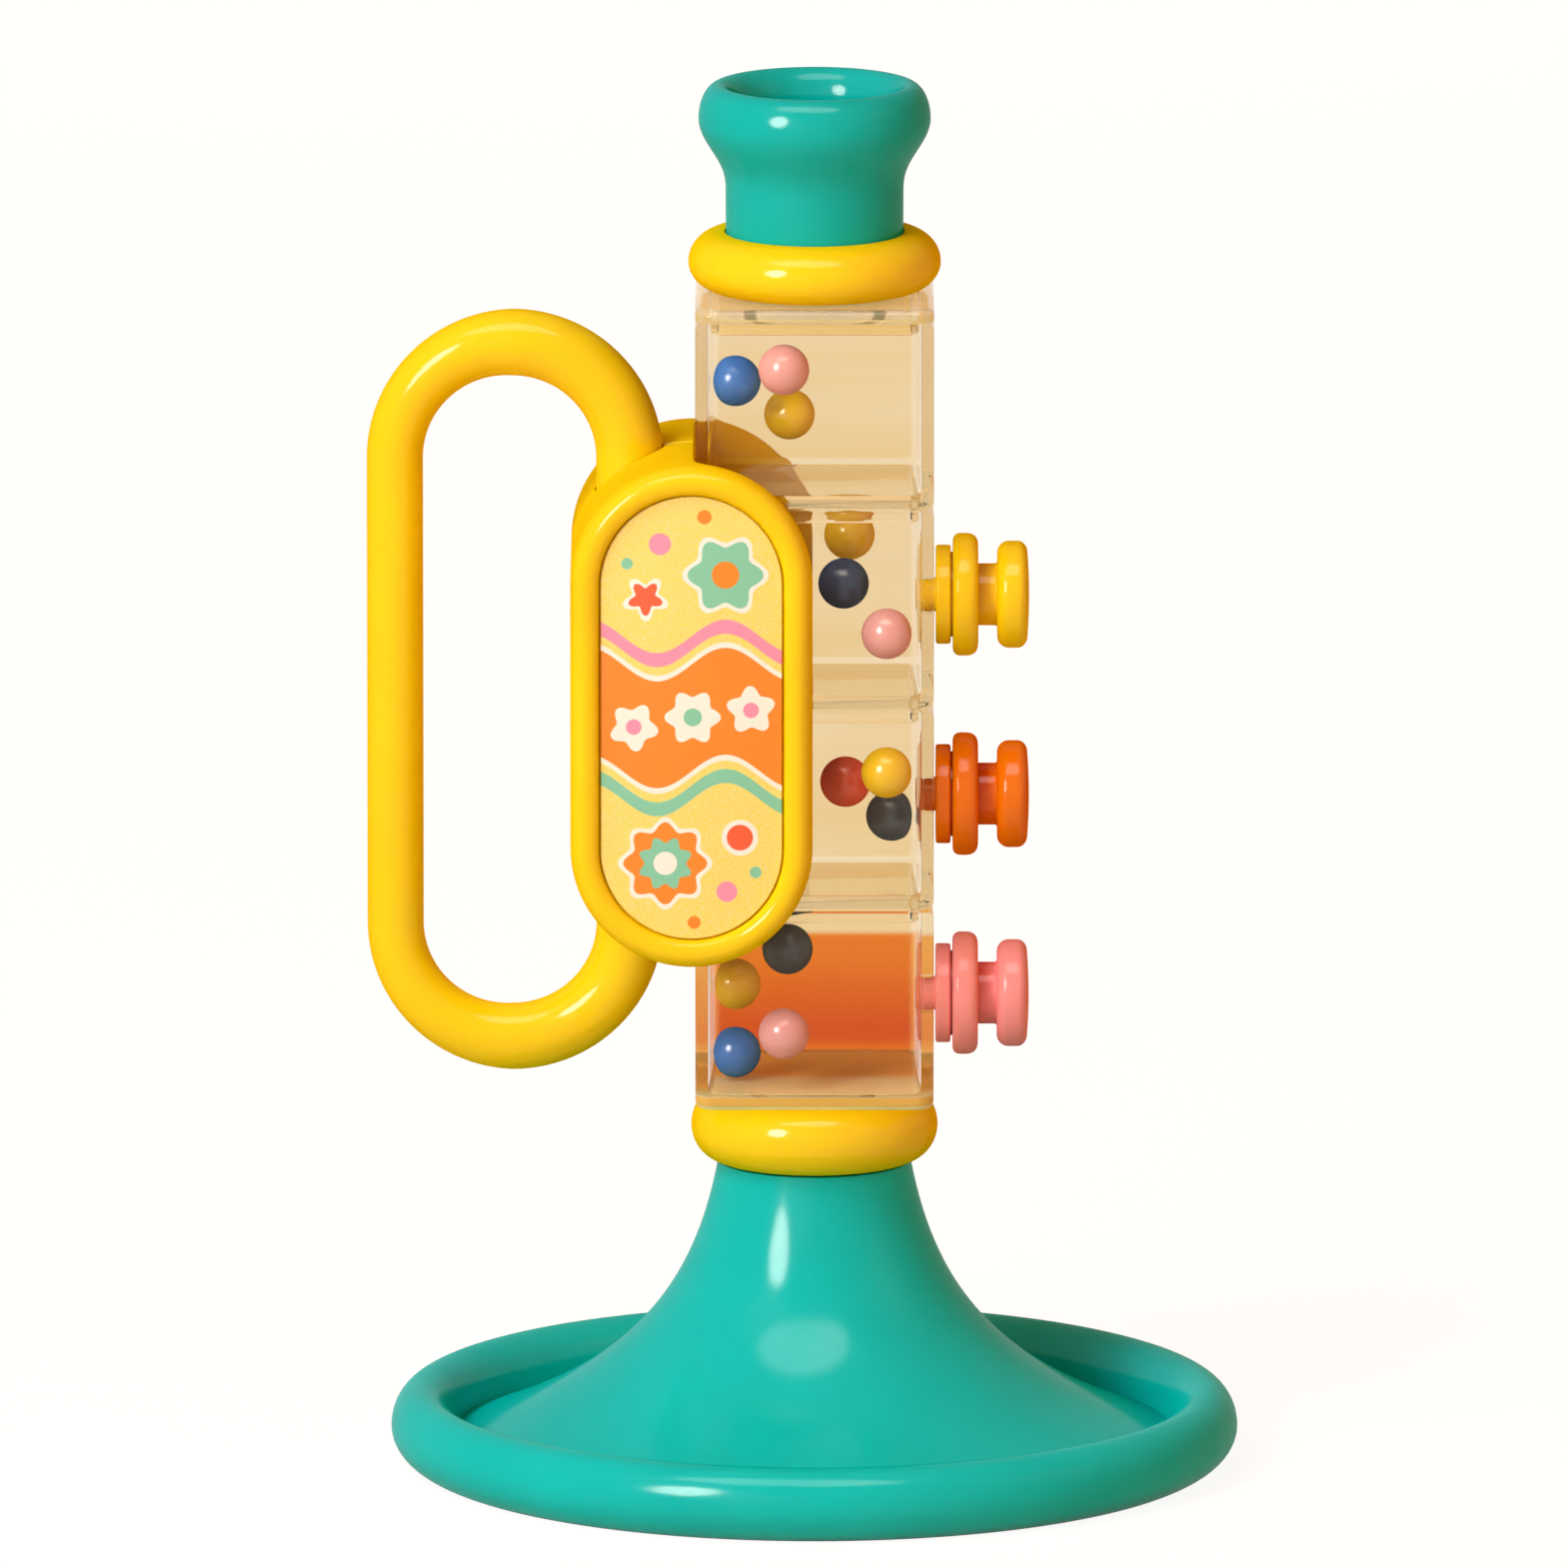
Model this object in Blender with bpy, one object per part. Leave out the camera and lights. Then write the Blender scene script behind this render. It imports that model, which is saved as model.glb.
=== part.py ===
"""Toy trumpet: a clear rattle body on a bell, with three sprung keys, a side handle and a mouthpiece.

Units are metres and +Z is up. The bell stands on the floor, and the origin is the middle of the base.
Run it with: blender --background --python part.py
"""

import math

import bmesh
import bpy
from mathutils import Vector

MM = 0.001

# Fits and cutters
GAP = 0.3 * MM
OVERRUN = 4.0 * MM

# Bell, turned about the trumpet's axis
BELL_RADIUS = 65.0 * MM
BELL_WALL = 2.2 * MM
BELL_HEIGHT = 47.0 * MM
BELL_NECK_RADIUS = 11.8 * MM
BELL_FLARE_FADE = 16.1 * MM
BELL_FLARE_END_Z = 3.82 * MM
RIM_WIDTH = 9.5 * MM
RIM_HALF_HEIGHT = 5.9 * MM
RIM_UNDER_REACH = 7.2 * MM
RIM_FLAT_DROP = 0.5 * MM
BELL_SPIGOT_RADIUS = 13.3 * MM
BELL_SPIGOT_WALL = 2.0 * MM

# Collars above and below the clear body
LOWER_COLLAR_RADIUS = 18.9 * MM
LOWER_COLLAR_HEIGHT = 10.5 * MM
UPPER_COLLAR_RADIUS = 19.3 * MM
UPPER_COLLAR_HEIGHT = 9.4 * MM
COLLAR_LAND = 0.7 * MM

# Clear body, four stacked square chambers and a lid
BODY_WIDTH = 36.5 * MM
BODY_WALL = 2.0 * MM
BODY_CORNER = 3.0 * MM
CAVITY_CORNER = 2.5 * MM
BODY_EDGE = 1.2 * MM
CHAMBER_COUNT = 4
CHAMBER_PITCH = 31.1 * MM
CHAMBER_FLOOR = 2.0 * MM
PLUG_DEPTH = 2.2 * MM
PLUG_WALL = 1.3 * MM
BOSS_WALL = 1.8 * MM
LOWER_BOSS_DEPTH = 8.0 * MM
UPPER_BOSS_HEIGHT = 6.0 * MM

# Mouthpiece and the whistle in its bore
MOUTH_HEIGHT = 31.7 * MM
MOUTH_LIP_RADIUS = 17.75 * MM
MOUTH_LIP_DROP = 5.3 * MM
MOUTH_FLARE = 11.2 * MM
MOUTH_NECK_RADIUS = 13.8 * MM
MOUTH_FOOT_RADIUS = 13.55 * MM
MOUTH_HOLE_RADIUS = 11.6 * MM
MOUTH_BORE_RADIUS = 11.2 * MM
WHISTLE_HEIGHT = 10.0 * MM
WHISTLE_WALL = 1.5 * MM
REED_LENGTH = 13.0 * MM
REED_WIDTH = 5.0 * MM
REED_THICKNESS = 0.6 * MM
REED_LAP = 1.0 * MM

# Handle, one tube bent into a long loop
HANDLE_TUBE_RADIUS = 4.3 * MM
HANDLE_ROOT_RADIUS = 5.1 * MM
HANDLE_BEND_RADIUS = 17.95 * MM
HANDLE_HALF_HEIGHT = 54.1 * MM
HANDLE_SCREW_CLEARANCE = 0.4 * MM

# Case, two halves that clamp the handle to the body
CASE_DROP = 0.4 * MM
CASE_HALF_WIDTH = 18.5 * MM
CASE_HALF_HEIGHT = 39.0 * MM
CASE_WALL = 1.55 * MM
CASE_SIDE_WALL = 3.9 * MM
CASE_RIM_WIDTH = 4.35 * MM
CASE_RIM_CREST = 2.4 * MM
CASE_EDGE_DEPTH = 3.4 * MM
CASE_RIM_DROP = 1.5 * MM
CASE_RECESS_DEPTH = 2.4 * MM
LABEL_THICKNESS = 0.5 * MM

# Screws that join the case halves from the rear
SCREW_COUNT = 4
SCREW_PITCH_SHARE = 0.4615
SCREW_WELL_WALL = 0.75 * MM
SCREW_HEAD_RADIUS = 2.1 * MM
SCREW_HEAD_HEIGHT = 1.5 * MM
SCREW_SHANK_RADIUS = 1.1 * MM
SCREW_TIP = 1.2 * MM
SCREW_SEAT_Y = 12.0 * MM
SCREW_LENGTH = 18.0 * MM

# Keys, measured outwards from the body's side
KEY_DROP = 0.7 * MM
KEY_PEG_RADIUS = 2.6 * MM
KEY_BASE = 0.85 * MM
STUB_RADIUS = 7.6 * MM
STUB_HEIGHT = 2.6 * MM
STUB_SOCKET = 1.8 * MM
STUB_WALL = 0.7 * MM
FLANGE_RADIUS = 9.4 * MM
FLANGE_HEIGHT = 3.9 * MM
FLANGE_EDGE = 1.2 * MM
FLANGE_LIP = 1.4 * MM
PLUNGER_RADIUS = 4.75 * MM
PLUNGER_BORE = 3.4 * MM
PLUNGER_COLLAR_RADIUS = 5.5 * MM
PLUNGER_COLLAR = 1.0 * MM
KEY_TRAVEL = 2.4 * MM
KEY_CAP_GAP = 0.5 * MM
KEY_CAP_RADIUS = 8.2 * MM
KEY_CAP_HEIGHT = 4.9 * MM
KEY_CAP_EDGE = 1.8 * MM
KEY_CAP_ROOF = 1.8 * MM
SPRING_RADIUS = 2.65 * MM
SPRING_WIRE_RADIUS = 0.35 * MM
SPRING_TURNS = 4

# Beads, loose in the chambers, in four lanes from front to back
BEAD_RADIUS = 3.9 * MM
BEAD_LANE_SHARES = (-0.742, -0.247, 0.247, 0.742)

# Numbers of faces
BELL_SIDES = 36
MOUTH_SIDES = 30
COLLAR_SIDES = 30
HANDLE_SIDES = 10
KEY_SIDES = 16
SCREW_SIDES = 8
CORNER_STEPS = 3
STADIUM_STEPS = 12
SPRING_STEPS = 8
BEAD_SIDES = 10
BEAD_RINGS = 6

# Places worked out from the sizes above
RIM_MID_RADIUS = BELL_RADIUS - RIM_WIDTH / 2
RIM_MID_Z = RIM_HALF_HEIGHT - RIM_FLAT_DROP
FLARE_END_RADIUS = BELL_RADIUS - RIM_WIDTH
BELL_FLARE = (FLARE_END_RADIUS - BELL_NECK_RADIUS) * math.exp(BELL_FLARE_END_Z / BELL_FLARE_FADE)
LOWER_COLLAR_Z = BELL_HEIGHT + GAP
LOWER_BORE_RADIUS = BELL_SPIGOT_RADIUS + GAP
BODY_Z = LOWER_COLLAR_Z + LOWER_COLLAR_HEIGHT + GAP
BODY_HALF = BODY_WIDTH / 2
BODY_TOP_Z = BODY_Z + CHAMBER_COUNT * CHAMBER_PITCH
CAVITY_HALF = BODY_HALF - BODY_WALL
UPPER_COLLAR_Z = BODY_TOP_Z + GAP
MIDDLE_Z = (BODY_Z + BODY_TOP_Z) / 2
CASE_Z = MIDDLE_Z - CASE_DROP
CASE_DEPTH = BODY_HALF + GAP + CASE_WALL + CASE_RECESS_DEPTH
SCREW_PITCH = CASE_HALF_HEIGHT * SCREW_PITCH_SHARE
SCREW_X = -(BODY_HALF + GAP + SCREW_WELL_WALL + GAP + SCREW_HEAD_RADIUS)
HANDLE_LIMB_X = SCREW_X - SCREW_SHANK_RADIUS - HANDLE_SCREW_CLEARANCE - HANDLE_ROOT_RADIUS
CASE_X = HANDLE_LIMB_X - HANDLE_ROOT_RADIUS - CASE_SIDE_WALL + CASE_HALF_WIDTH
HANDLE_X = HANDLE_LIMB_X - HANDLE_BEND_RADIUS
HANDLE_REACH = HANDLE_BEND_RADIUS + HANDLE_TUBE_RADIUS - HANDLE_X
AXIS_X = (HANDLE_REACH - BELL_RADIUS) / 2
FLANGE_Z = GAP + STUB_HEIGHT
FLANGE_TOP_Z = FLANGE_Z + FLANGE_HEIGHT
COLLAR_TOP_Z = FLANGE_TOP_Z - FLANGE_LIP - GAP
KEY_CAP_Z = FLANGE_TOP_Z + KEY_CAP_GAP + KEY_TRAVEL
KEY_FLOOR_Z = GAP + KEY_BASE

# Colours, as they read on a screen from 0 to 255
TEAL = (32, 186, 175)
YELLOW = (253, 206, 36)
ORANGE = (243, 121, 12)
PINK = (249, 148, 138)
CLEAR_BEIGE = (240, 216, 165)
CLEAR_ORANGE = (228, 125, 52)
LABEL_CREAM = (246, 227, 118)
STEEL = (190, 192, 196)
WHITE = (236, 234, 226)
BEAD_BLUE = (60, 110, 200)
BEAD_PINK = (240, 150, 140)
BEAD_GOLD = (225, 180, 25)
BEAD_NAVY = (45, 52, 84)
BEAD_RED = (196, 60, 40)
BEAD_GREY = (62, 66, 74)

# Keys from the top, one on each of the lowest chambers
KEYS = (
    ("yellow", YELLOW),
    ("orange", ORANGE),
    ("pink", PINK),
)

# Beads: chamber, colour name, colour, lane, then X as a share of the cavity's half width and
# height as a share of the chamber's pitch
BEAD_PLACE_SHARES = (
    (1, "pink", BEAD_PINK, 1, -0.289, 0.672),
    (1, "blue", BEAD_BLUE, 2, -0.745, 0.569),
    (1, "gold", BEAD_GOLD, 3, -0.236, 0.354),
    (2, "gold", BEAD_GOLD, 4, 0.330, 0.701),
    (2, "navy", BEAD_NAVY, 2, 0.273, 0.556),
    (2, "pink", BEAD_PINK, 1, 0.679, 0.354),
    (3, "gold", BEAD_GOLD, 1, 0.679, 0.659),
    (3, "red", BEAD_RED, 3, 0.292, 0.511),
    (3, "grey", BEAD_GREY, 4, 0.726, 0.289),
    (4, "grey", BEAD_GREY, 4, -0.254, 0.617),
    (4, "gold", BEAD_GOLD, 3, -0.745, 0.495),
    (4, "pink", BEAD_PINK, 1, -0.289, 0.350),
    (4, "blue", BEAD_BLUE, 2, -0.745, 0.205),
)


def clear_scene():
    for obj in list(bpy.data.objects):
        bpy.data.objects.remove(obj, do_unlink=True)


def linear(colour):
    """The linear colour of three screen values from 0 to 255."""
    shares = [value / 255 for value in colour]
    return [s / 12.92 if s <= 0.04045 else ((s + 0.055) / 1.055) ** 2.4 for s in shares]


def material(name, colour, roughness=0.3, metallic=0.0, transmission=0.0):
    """One Principled material, made once for each name."""
    made = bpy.data.materials.get(name)
    if made:
        return made
    made = bpy.data.materials.new(name)
    made.use_nodes = True
    shader = made.node_tree.nodes["Principled BSDF"]
    shader.inputs["Base Color"].default_value = (*linear(colour), 1.0)
    shader.inputs["Roughness"].default_value = roughness
    shader.inputs["Metallic"].default_value = metallic
    shader.inputs["Transmission Weight"].default_value = transmission
    made.diffuse_color = (*linear(colour), 1.0)
    return made


def place(obj, parent, location=(0.0, 0.0, 0.0), rotation=(0.0, 0.0, 0.0)):
    bpy.context.collection.objects.link(obj)
    obj.parent = parent
    obj.location = location
    obj.rotation_euler = rotation
    return obj


def empty(name, parent=None, location=(0.0, 0.0, 0.0), rotation=(0.0, 0.0, 0.0)):
    return place(bpy.data.objects.new(name, None), parent, location, rotation)


def mesh_object(name, bm, finish):
    """An object from a bmesh, with its faces turned outwards and its round sides shaded smooth."""
    bmesh.ops.recalc_face_normals(bm, faces=bm.faces)
    mesh = bpy.data.meshes.new(name)
    bm.to_mesh(mesh)
    bm.free()
    mesh.shade_smooth()
    mesh.set_sharp_from_angle(angle=math.radians(40))
    if finish:
        mesh.materials.append(finish)
    return bpy.data.objects.new(name, mesh)


def turned(name, profile, sides, finish=None):
    """A closed outline of (radius, height) points, spun once about the local Z axis."""
    bm = bmesh.new()
    verts = [bm.verts.new((radius, 0.0, height)) for radius, height in profile]
    edges = [bm.edges.new(pair) for pair in zip(verts, verts[1:])]
    if profile[0][0] > 0 or profile[-1][0] > 0:
        edges.append(bm.edges.new((verts[-1], verts[0])))
    bmesh.ops.spin(
        bm,
        geom=verts + edges,
        cent=(0.0, 0.0, 0.0),
        axis=(0.0, 0.0, 1.0),
        angle=math.tau,
        steps=sides,
        use_merge=True,
    )
    bmesh.ops.remove_doubles(bm, verts=bm.verts, dist=GAP / 100)
    return mesh_object(name, bm, finish)


def lofted(name, rings, finish=None):
    """A skin over rings of equal length, with the first and the last ring filled."""
    bm = bmesh.new()
    loops = [[bm.verts.new(point) for point in ring] for ring in rings]
    for lower, upper in zip(loops, loops[1:]):
        for i in range(len(lower)):
            j = (i + 1) % len(lower)
            bm.faces.new((lower[i], lower[j], upper[j], upper[i]))
    bm.faces.new(list(reversed(loops[0])))
    bm.faces.new(loops[-1])
    return mesh_object(name, bm, finish)


def arc(centre, radii, start, end, steps):
    """Points of an elliptical arc, from start to end in degrees, both ends included."""
    angles = [math.radians(start + (end - start) * i / steps) for i in range(steps + 1)]
    return [(centre[0] + radii[0] * math.cos(a), centre[1] + radii[1] * math.sin(a)) for a in angles]


def square_ring(half, corner, height):
    """A square outline with rounded corners, level at one height."""
    ring = []
    for quarter in range(4):
        turn = math.radians(90 * quarter)
        along = Vector((math.cos(turn), math.sin(turn), 0.0))
        across = Vector((-along.y, along.x, 0.0))
        middle = (along + across) * (half - corner)
        for i in range(CORNER_STEPS + 1):
            angle = math.radians(90 * i / CORNER_STEPS)
            out = along * math.cos(angle) + across * math.sin(angle)
            ring.append(middle + out * corner + Vector((0.0, 0.0, height)))
    return ring


def stadium_ring(half_width, half_height, depth):
    """An upright outline with straight sides and half-round ends, at one depth along Y."""
    ring = []
    for sign in (1, -1):
        for i in range(STADIUM_STEPS + 1):
            angle = math.pi * i / STADIUM_STEPS
            x = sign * half_width * math.cos(angle)
            z = sign * (half_height - half_width + half_width * math.sin(angle))
            ring.append(Vector((x, depth, z)))
    return ring


def boolean(target, other, operation):
    """Cuts or joins with another object, which stays in the file as a hidden guide."""
    other.hide_render = True
    other.display_type = "WIRE"
    step = target.modifiers.new(other.name, "BOOLEAN")
    step.operation = operation
    step.solver = "EXACT"
    step.object = other


def cutter_rod(name, parent, radius, start, end, location, rotation=(0.0, 0.0, 0.0), sides=KEY_SIDES):
    """A round cutter along the local Z axis, from start to end."""
    rod = turned(name, [(0.0, start), (radius, start), (radius, end), (0.0, end)], sides)
    return place(rod, parent, location, rotation)


def flare_radius(height):
    """The bell's outer radius at a height, an exponential horn."""
    return BELL_NECK_RADIUS + BELL_FLARE * math.exp(-height / BELL_FLARE_FADE)


def flare_inner_point(height):
    """The point on the bell's inner wall that faces the outer wall at this height."""
    slope = -(flare_radius(height) - BELL_NECK_RADIUS) / BELL_FLARE_FADE
    length = math.hypot(1.0, slope)
    return (flare_radius(height) - BELL_WALL / length, height + BELL_WALL * slope / length)


def bell_profile():
    """Spigot, shoulder, flare, rolled rim with a flat foot, then back up the inside."""
    steps = 8
    drop = BELL_HEIGHT - BELL_FLARE_END_Z
    heights = [BELL_FLARE_END_Z + drop * (i / steps) ** 2 for i in range(steps + 1)]
    spigot_top = BODY_Z - 2 * GAP
    spigot_bore = BELL_SPIGOT_RADIUS - BELL_SPIGOT_WALL
    foot = math.degrees(math.asin(RIM_MID_Z / RIM_HALF_HEIGHT))
    middle = (RIM_MID_RADIUS, RIM_MID_Z)
    radii = (RIM_WIDTH / 2, RIM_HALF_HEIGHT)
    under_middle = (BELL_RADIUS - RIM_UNDER_REACH, RIM_MID_Z)
    under_radii = (RIM_UNDER_REACH, RIM_HALF_HEIGHT)
    inner = [flare_inner_point(height) for height in heights[:-1]]
    inner_start = math.degrees(math.asin((inner[0][1] - RIM_MID_Z) / RIM_HALF_HEIGHT))
    profile = [(spigot_bore, spigot_top), (BELL_SPIGOT_RADIUS, spigot_top)]
    profile += [(BELL_SPIGOT_RADIUS, BELL_HEIGHT)]
    profile += [(flare_radius(height), height) for height in reversed(heights)]
    profile += arc(middle, radii, 180, 0, 7)[1:]
    profile += arc(under_middle, under_radii, 0, -foot, 3)[1:]
    profile += arc(middle, radii, -180 + foot, -180 - inner_start, 2)
    profile += inner
    profile += [(spigot_bore, BELL_HEIGHT - BELL_WALL)]
    return profile


def bell(trumpet):
    finish = material("bell_teal", TEAL, 0.32)
    return place(turned("bell", bell_profile(), BELL_SIDES, finish), trumpet)


def collar(name, trumpet, size, bottom):
    """A ring with a straight bore and a round outer side, of a size (outer radius, bore radius, height)."""
    radius, bore, height = size
    land = bore + COLLAR_LAND
    profile = [(bore, 0.0)]
    profile += arc((land, height / 2), (radius - land, height / 2), -90, 90, 6)
    profile += [(bore, height)]
    ring = turned(name, profile, COLLAR_SIDES, material("collar_yellow", YELLOW, 0.3))
    return place(ring, trumpet, (0.0, 0.0, bottom))


def edge_arc(height, start, end):
    """The rounded edge of the body between a side and a top or bottom, as (half width, height)."""
    return arc((BODY_HALF - BODY_EDGE, height), (BODY_EDGE, BODY_EDGE), start, end, 2)


def outer_ring(half, height):
    """One ring of the body's outside, with a corner that shrinks where the edge rounds in."""
    return square_ring(half, BODY_CORNER - (BODY_HALF - half), height)


def inner_ring(half, height):
    """One ring at or inside the cavity's wall, with a corner that shrinks with the distance from it."""
    return square_ring(half, CAVITY_CORNER - (CAVITY_HALF - half), height)


def plug_rings():
    """The square plug under a floor or lid, from its hollow round to its outer side."""
    outer = CAVITY_HALF - GAP
    inner = outer - PLUG_WALL
    return [
        inner_ring(inner, 0.0),
        inner_ring(inner, -PLUG_DEPTH),
        inner_ring(outer, -PLUG_DEPTH),
        inner_ring(outer, 0.0),
    ]


def chamber(trumpet, number, bottom, height, plugged, finish):
    """A square cup with rounded edges, and under it the plug that fits the cup below."""
    rings = plug_rings() if plugged else []
    rings += [outer_ring(half, z) for half, z in edge_arc(BODY_EDGE, -90, 0)]
    rings += [outer_ring(half, z) for half, z in edge_arc(height - BODY_EDGE, 0, 90)]
    rings += [inner_ring(CAVITY_HALF, height), inner_ring(CAVITY_HALF, CHAMBER_FLOOR)]
    cup = lofted(f"chamber_{number}", rings, finish)
    return place(cup, trumpet, (0.0, 0.0, bottom))


def boss(name, trumpet, radius, start, end, location, finish):
    """A round tube that a Boolean joins to a floor or lid. It runs from start to end along Z."""
    bore = radius - BOSS_WALL
    tube = turned(name, [(bore, start), (radius, start), (radius, end), (bore, end)], COLLAR_SIDES, finish)
    return place(tube, trumpet, location)


def key_z(number):
    """Height of a key's axis, a little under the middle of its chamber. The last key is on the lowest."""
    middle = BODY_Z + (len(KEYS) - number + 0.5) * CHAMBER_PITCH
    return middle - KEY_DROP


def clear_body(trumpet):
    """Four chambers and a lid. The lowest has a boss for the bell, and the lid one for the mouthpiece."""
    beige = material("clear_beige", CLEAR_BEIGE, 0.05, transmission=1.0)
    orange = material("clear_orange", CLEAR_ORANGE, 0.05, transmission=1.0)
    first_key_chamber = CHAMBER_COUNT - len(KEYS) + 1
    for number in range(1, CHAMBER_COUNT + 1):
        lowest = number == CHAMBER_COUNT
        bottom = BODY_Z + (CHAMBER_COUNT - number) * CHAMBER_PITCH
        height = CHAMBER_PITCH - GAP - (CHAMBER_FLOOR if number == 1 else 0.0)
        cup = chamber(trumpet, number, bottom, height, not lowest, orange if lowest else beige)
        if lowest:
            radius = BELL_SPIGOT_RADIUS - BELL_SPIGOT_WALL - GAP
            top = CHAMBER_FLOOR / 2
            tube = boss("boss_below", trumpet, radius, -LOWER_BOSS_DEPTH, top, (0.0, 0.0, bottom), orange)
            boolean(cup, tube, "UNION")
        if number >= first_key_chamber:
            hole = cutter_rod(
                f"peg_hole_{number}",
                trumpet,
                KEY_PEG_RADIUS + GAP,
                CAVITY_HALF - OVERRUN,
                BODY_HALF + OVERRUN,
                (0.0, 0.0, key_z(number - first_key_chamber + 1)),
                (0.0, math.radians(90), 0.0),
                SCREW_SIDES,
            )
            boolean(cup, hole, "DIFFERENCE")
    rings = plug_rings()
    rings += [outer_ring(BODY_HALF, 0.0)]
    rings += [outer_ring(half, z) for half, z in edge_arc(CHAMBER_FLOOR - BODY_EDGE, 0, 90)]
    lid = place(lofted("top_lid", rings, beige), trumpet, (0.0, 0.0, BODY_TOP_Z - CHAMBER_FLOOR))
    radius = MOUTH_BORE_RADIUS - GAP
    tube = boss(
        "boss_above",
        trumpet,
        radius,
        CHAMBER_FLOOR / 2,
        CHAMBER_FLOOR + UPPER_BOSS_HEIGHT,
        (0.0, 0.0, BODY_TOP_Z - CHAMBER_FLOOR),
        beige,
    )
    boolean(lid, tube, "UNION")


def mouthpiece_profile():
    """Neck, eased flare, bulbous lip and straight bore, from the foot at zero."""
    lip_z = MOUTH_HEIGHT - MOUTH_LIP_DROP
    flare_z = lip_z - MOUTH_FLARE
    lip_middle = (MOUTH_LIP_RADIUS + MOUTH_HOLE_RADIUS) / 2
    lip_half = (MOUTH_LIP_RADIUS - MOUTH_HOLE_RADIUS) / 2
    steps = 7
    profile = [(MOUTH_BORE_RADIUS, 0.0), (MOUTH_FOOT_RADIUS, 0.0)]
    for i in range(steps):
        eased = (1 - math.cos(math.pi * i / steps)) / 2
        radius = MOUTH_NECK_RADIUS + (MOUTH_LIP_RADIUS - MOUTH_NECK_RADIUS) * eased
        profile.append((radius, flare_z + MOUTH_FLARE * i / steps))
    profile += arc((lip_middle, lip_z), (lip_half, MOUTH_LIP_DROP), 0, 180, 8)
    profile += [(MOUTH_BORE_RADIUS, flare_z)]
    return profile


def mouthpiece(trumpet):
    foot_z = BODY_TOP_Z + GAP
    finish = material("mouthpiece_teal", TEAL, 0.28)
    place(turned("mouthpiece", mouthpiece_profile(), MOUTH_SIDES, finish), trumpet, (0.0, 0.0, foot_z))


def whistle(trumpet):
    """A cup pushed up the mouthpiece's bore, with a slot that a thin reed covers."""
    bottom = BODY_TOP_Z + UPPER_BOSS_HEIGHT + GAP
    radius = MOUTH_BORE_RADIUS - GAP
    bore = radius - WHISTLE_WALL
    roof = WHISTLE_HEIGHT - WHISTLE_WALL
    profile = [(0.0, roof), (bore, roof), (bore, 0.0)]
    profile += [(radius, 0.0), (radius, WHISTLE_HEIGHT), (0.0, WHISTLE_HEIGHT)]
    cup = turned("whistle_body", profile, KEY_SIDES, material("whistle_white", WHITE, 0.4))
    place(cup, trumpet, (0.0, 0.0, bottom))
    slot = box_object("reed_slot", REED_LENGTH - 2 * REED_LAP, REED_WIDTH - 2 * REED_LAP, 2 * OVERRUN)
    place(slot, trumpet, (0.0, 0.0, bottom + WHISTLE_HEIGHT))
    boolean(cup, slot, "DIFFERENCE")
    steel = material("reed_steel", STEEL, 0.35, 1.0)
    reed = box_object("whistle_reed", REED_LENGTH, REED_WIDTH, REED_THICKNESS, steel)
    place(reed, trumpet, (0.0, 0.0, bottom + WHISTLE_HEIGHT + GAP + REED_THICKNESS / 2))


def box_object(name, length, width, height, finish=None):
    """A plain block about its own middle."""
    bm = bmesh.new()
    bmesh.ops.create_cube(bm, size=1.0)
    bmesh.ops.scale(bm, vec=(length, width, height), verts=bm.verts)
    return mesh_object(name, bm, finish)


def handle(trumpet):
    """A tube along a closed loop of two limbs and two half turns, thinner at the free limb.

    Half a side of tilt puts a corner of the tube at its widest place.
    """
    curve = bpy.data.curves.new("handle", "CURVE")
    curve.dimensions = "3D"
    curve.bevel_depth = HANDLE_TUBE_RADIUS
    curve.bevel_resolution = HANDLE_SIDES // 2 - 2
    spline = curve.splines.new("POLY")
    points = stadium_ring(HANDLE_BEND_RADIUS, HANDLE_HALF_HEIGHT, 0.0)
    spline.points.add(len(points) - 1)
    for point, centre in zip(spline.points, points):
        share = min(1.0 + centre.x / HANDLE_BEND_RADIUS, 1.0)
        thickness = HANDLE_TUBE_RADIUS + (HANDLE_ROOT_RADIUS - HANDLE_TUBE_RADIUS) * share
        point.co = (*centre, 1.0)
        point.radius = thickness / HANDLE_TUBE_RADIUS
        point.tilt = math.pi / HANDLE_SIDES
    spline.use_cyclic_u = True
    curve.materials.append(material("handle_yellow", YELLOW, 0.28))
    place(bpy.data.objects.new("handle", curve), trumpet, (HANDLE_X, 0.0, MIDDLE_Z))


def case_outline(inset, depth):
    """The case's outline, drawn in by an inset, at one depth."""
    return stadium_ring(CASE_HALF_WIDTH - inset, CASE_HALF_HEIGHT - inset, depth)


def case_rings(face):
    """Rings of one case half, from the seam out over the raised rim and into the recess."""
    straight = CASE_DEPTH - CASE_EDGE_DEPTH
    profile = [(0.0, GAP / 2)]
    profile += arc((CASE_RIM_CREST, straight), (-CASE_RIM_CREST, CASE_EDGE_DEPTH), 0, 90, 4)
    inner_half = CASE_RIM_WIDTH - CASE_RIM_CREST
    inner_z = CASE_DEPTH - CASE_RIM_DROP
    profile += arc((CASE_RIM_CREST, inner_z), (inner_half, CASE_RIM_DROP), 90, 0, 3)[1:]
    profile += [(CASE_RIM_WIDTH, CASE_DEPTH - CASE_RECESS_DEPTH)]
    return [case_outline(inset, face * depth) for inset, depth in profile]


def screw_places():
    """Heights of the screws, spread evenly about the middle of the case."""
    return [CASE_Z + (i - (SCREW_COUNT - 1) / 2) * SCREW_PITCH for i in range(SCREW_COUNT)]


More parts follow.
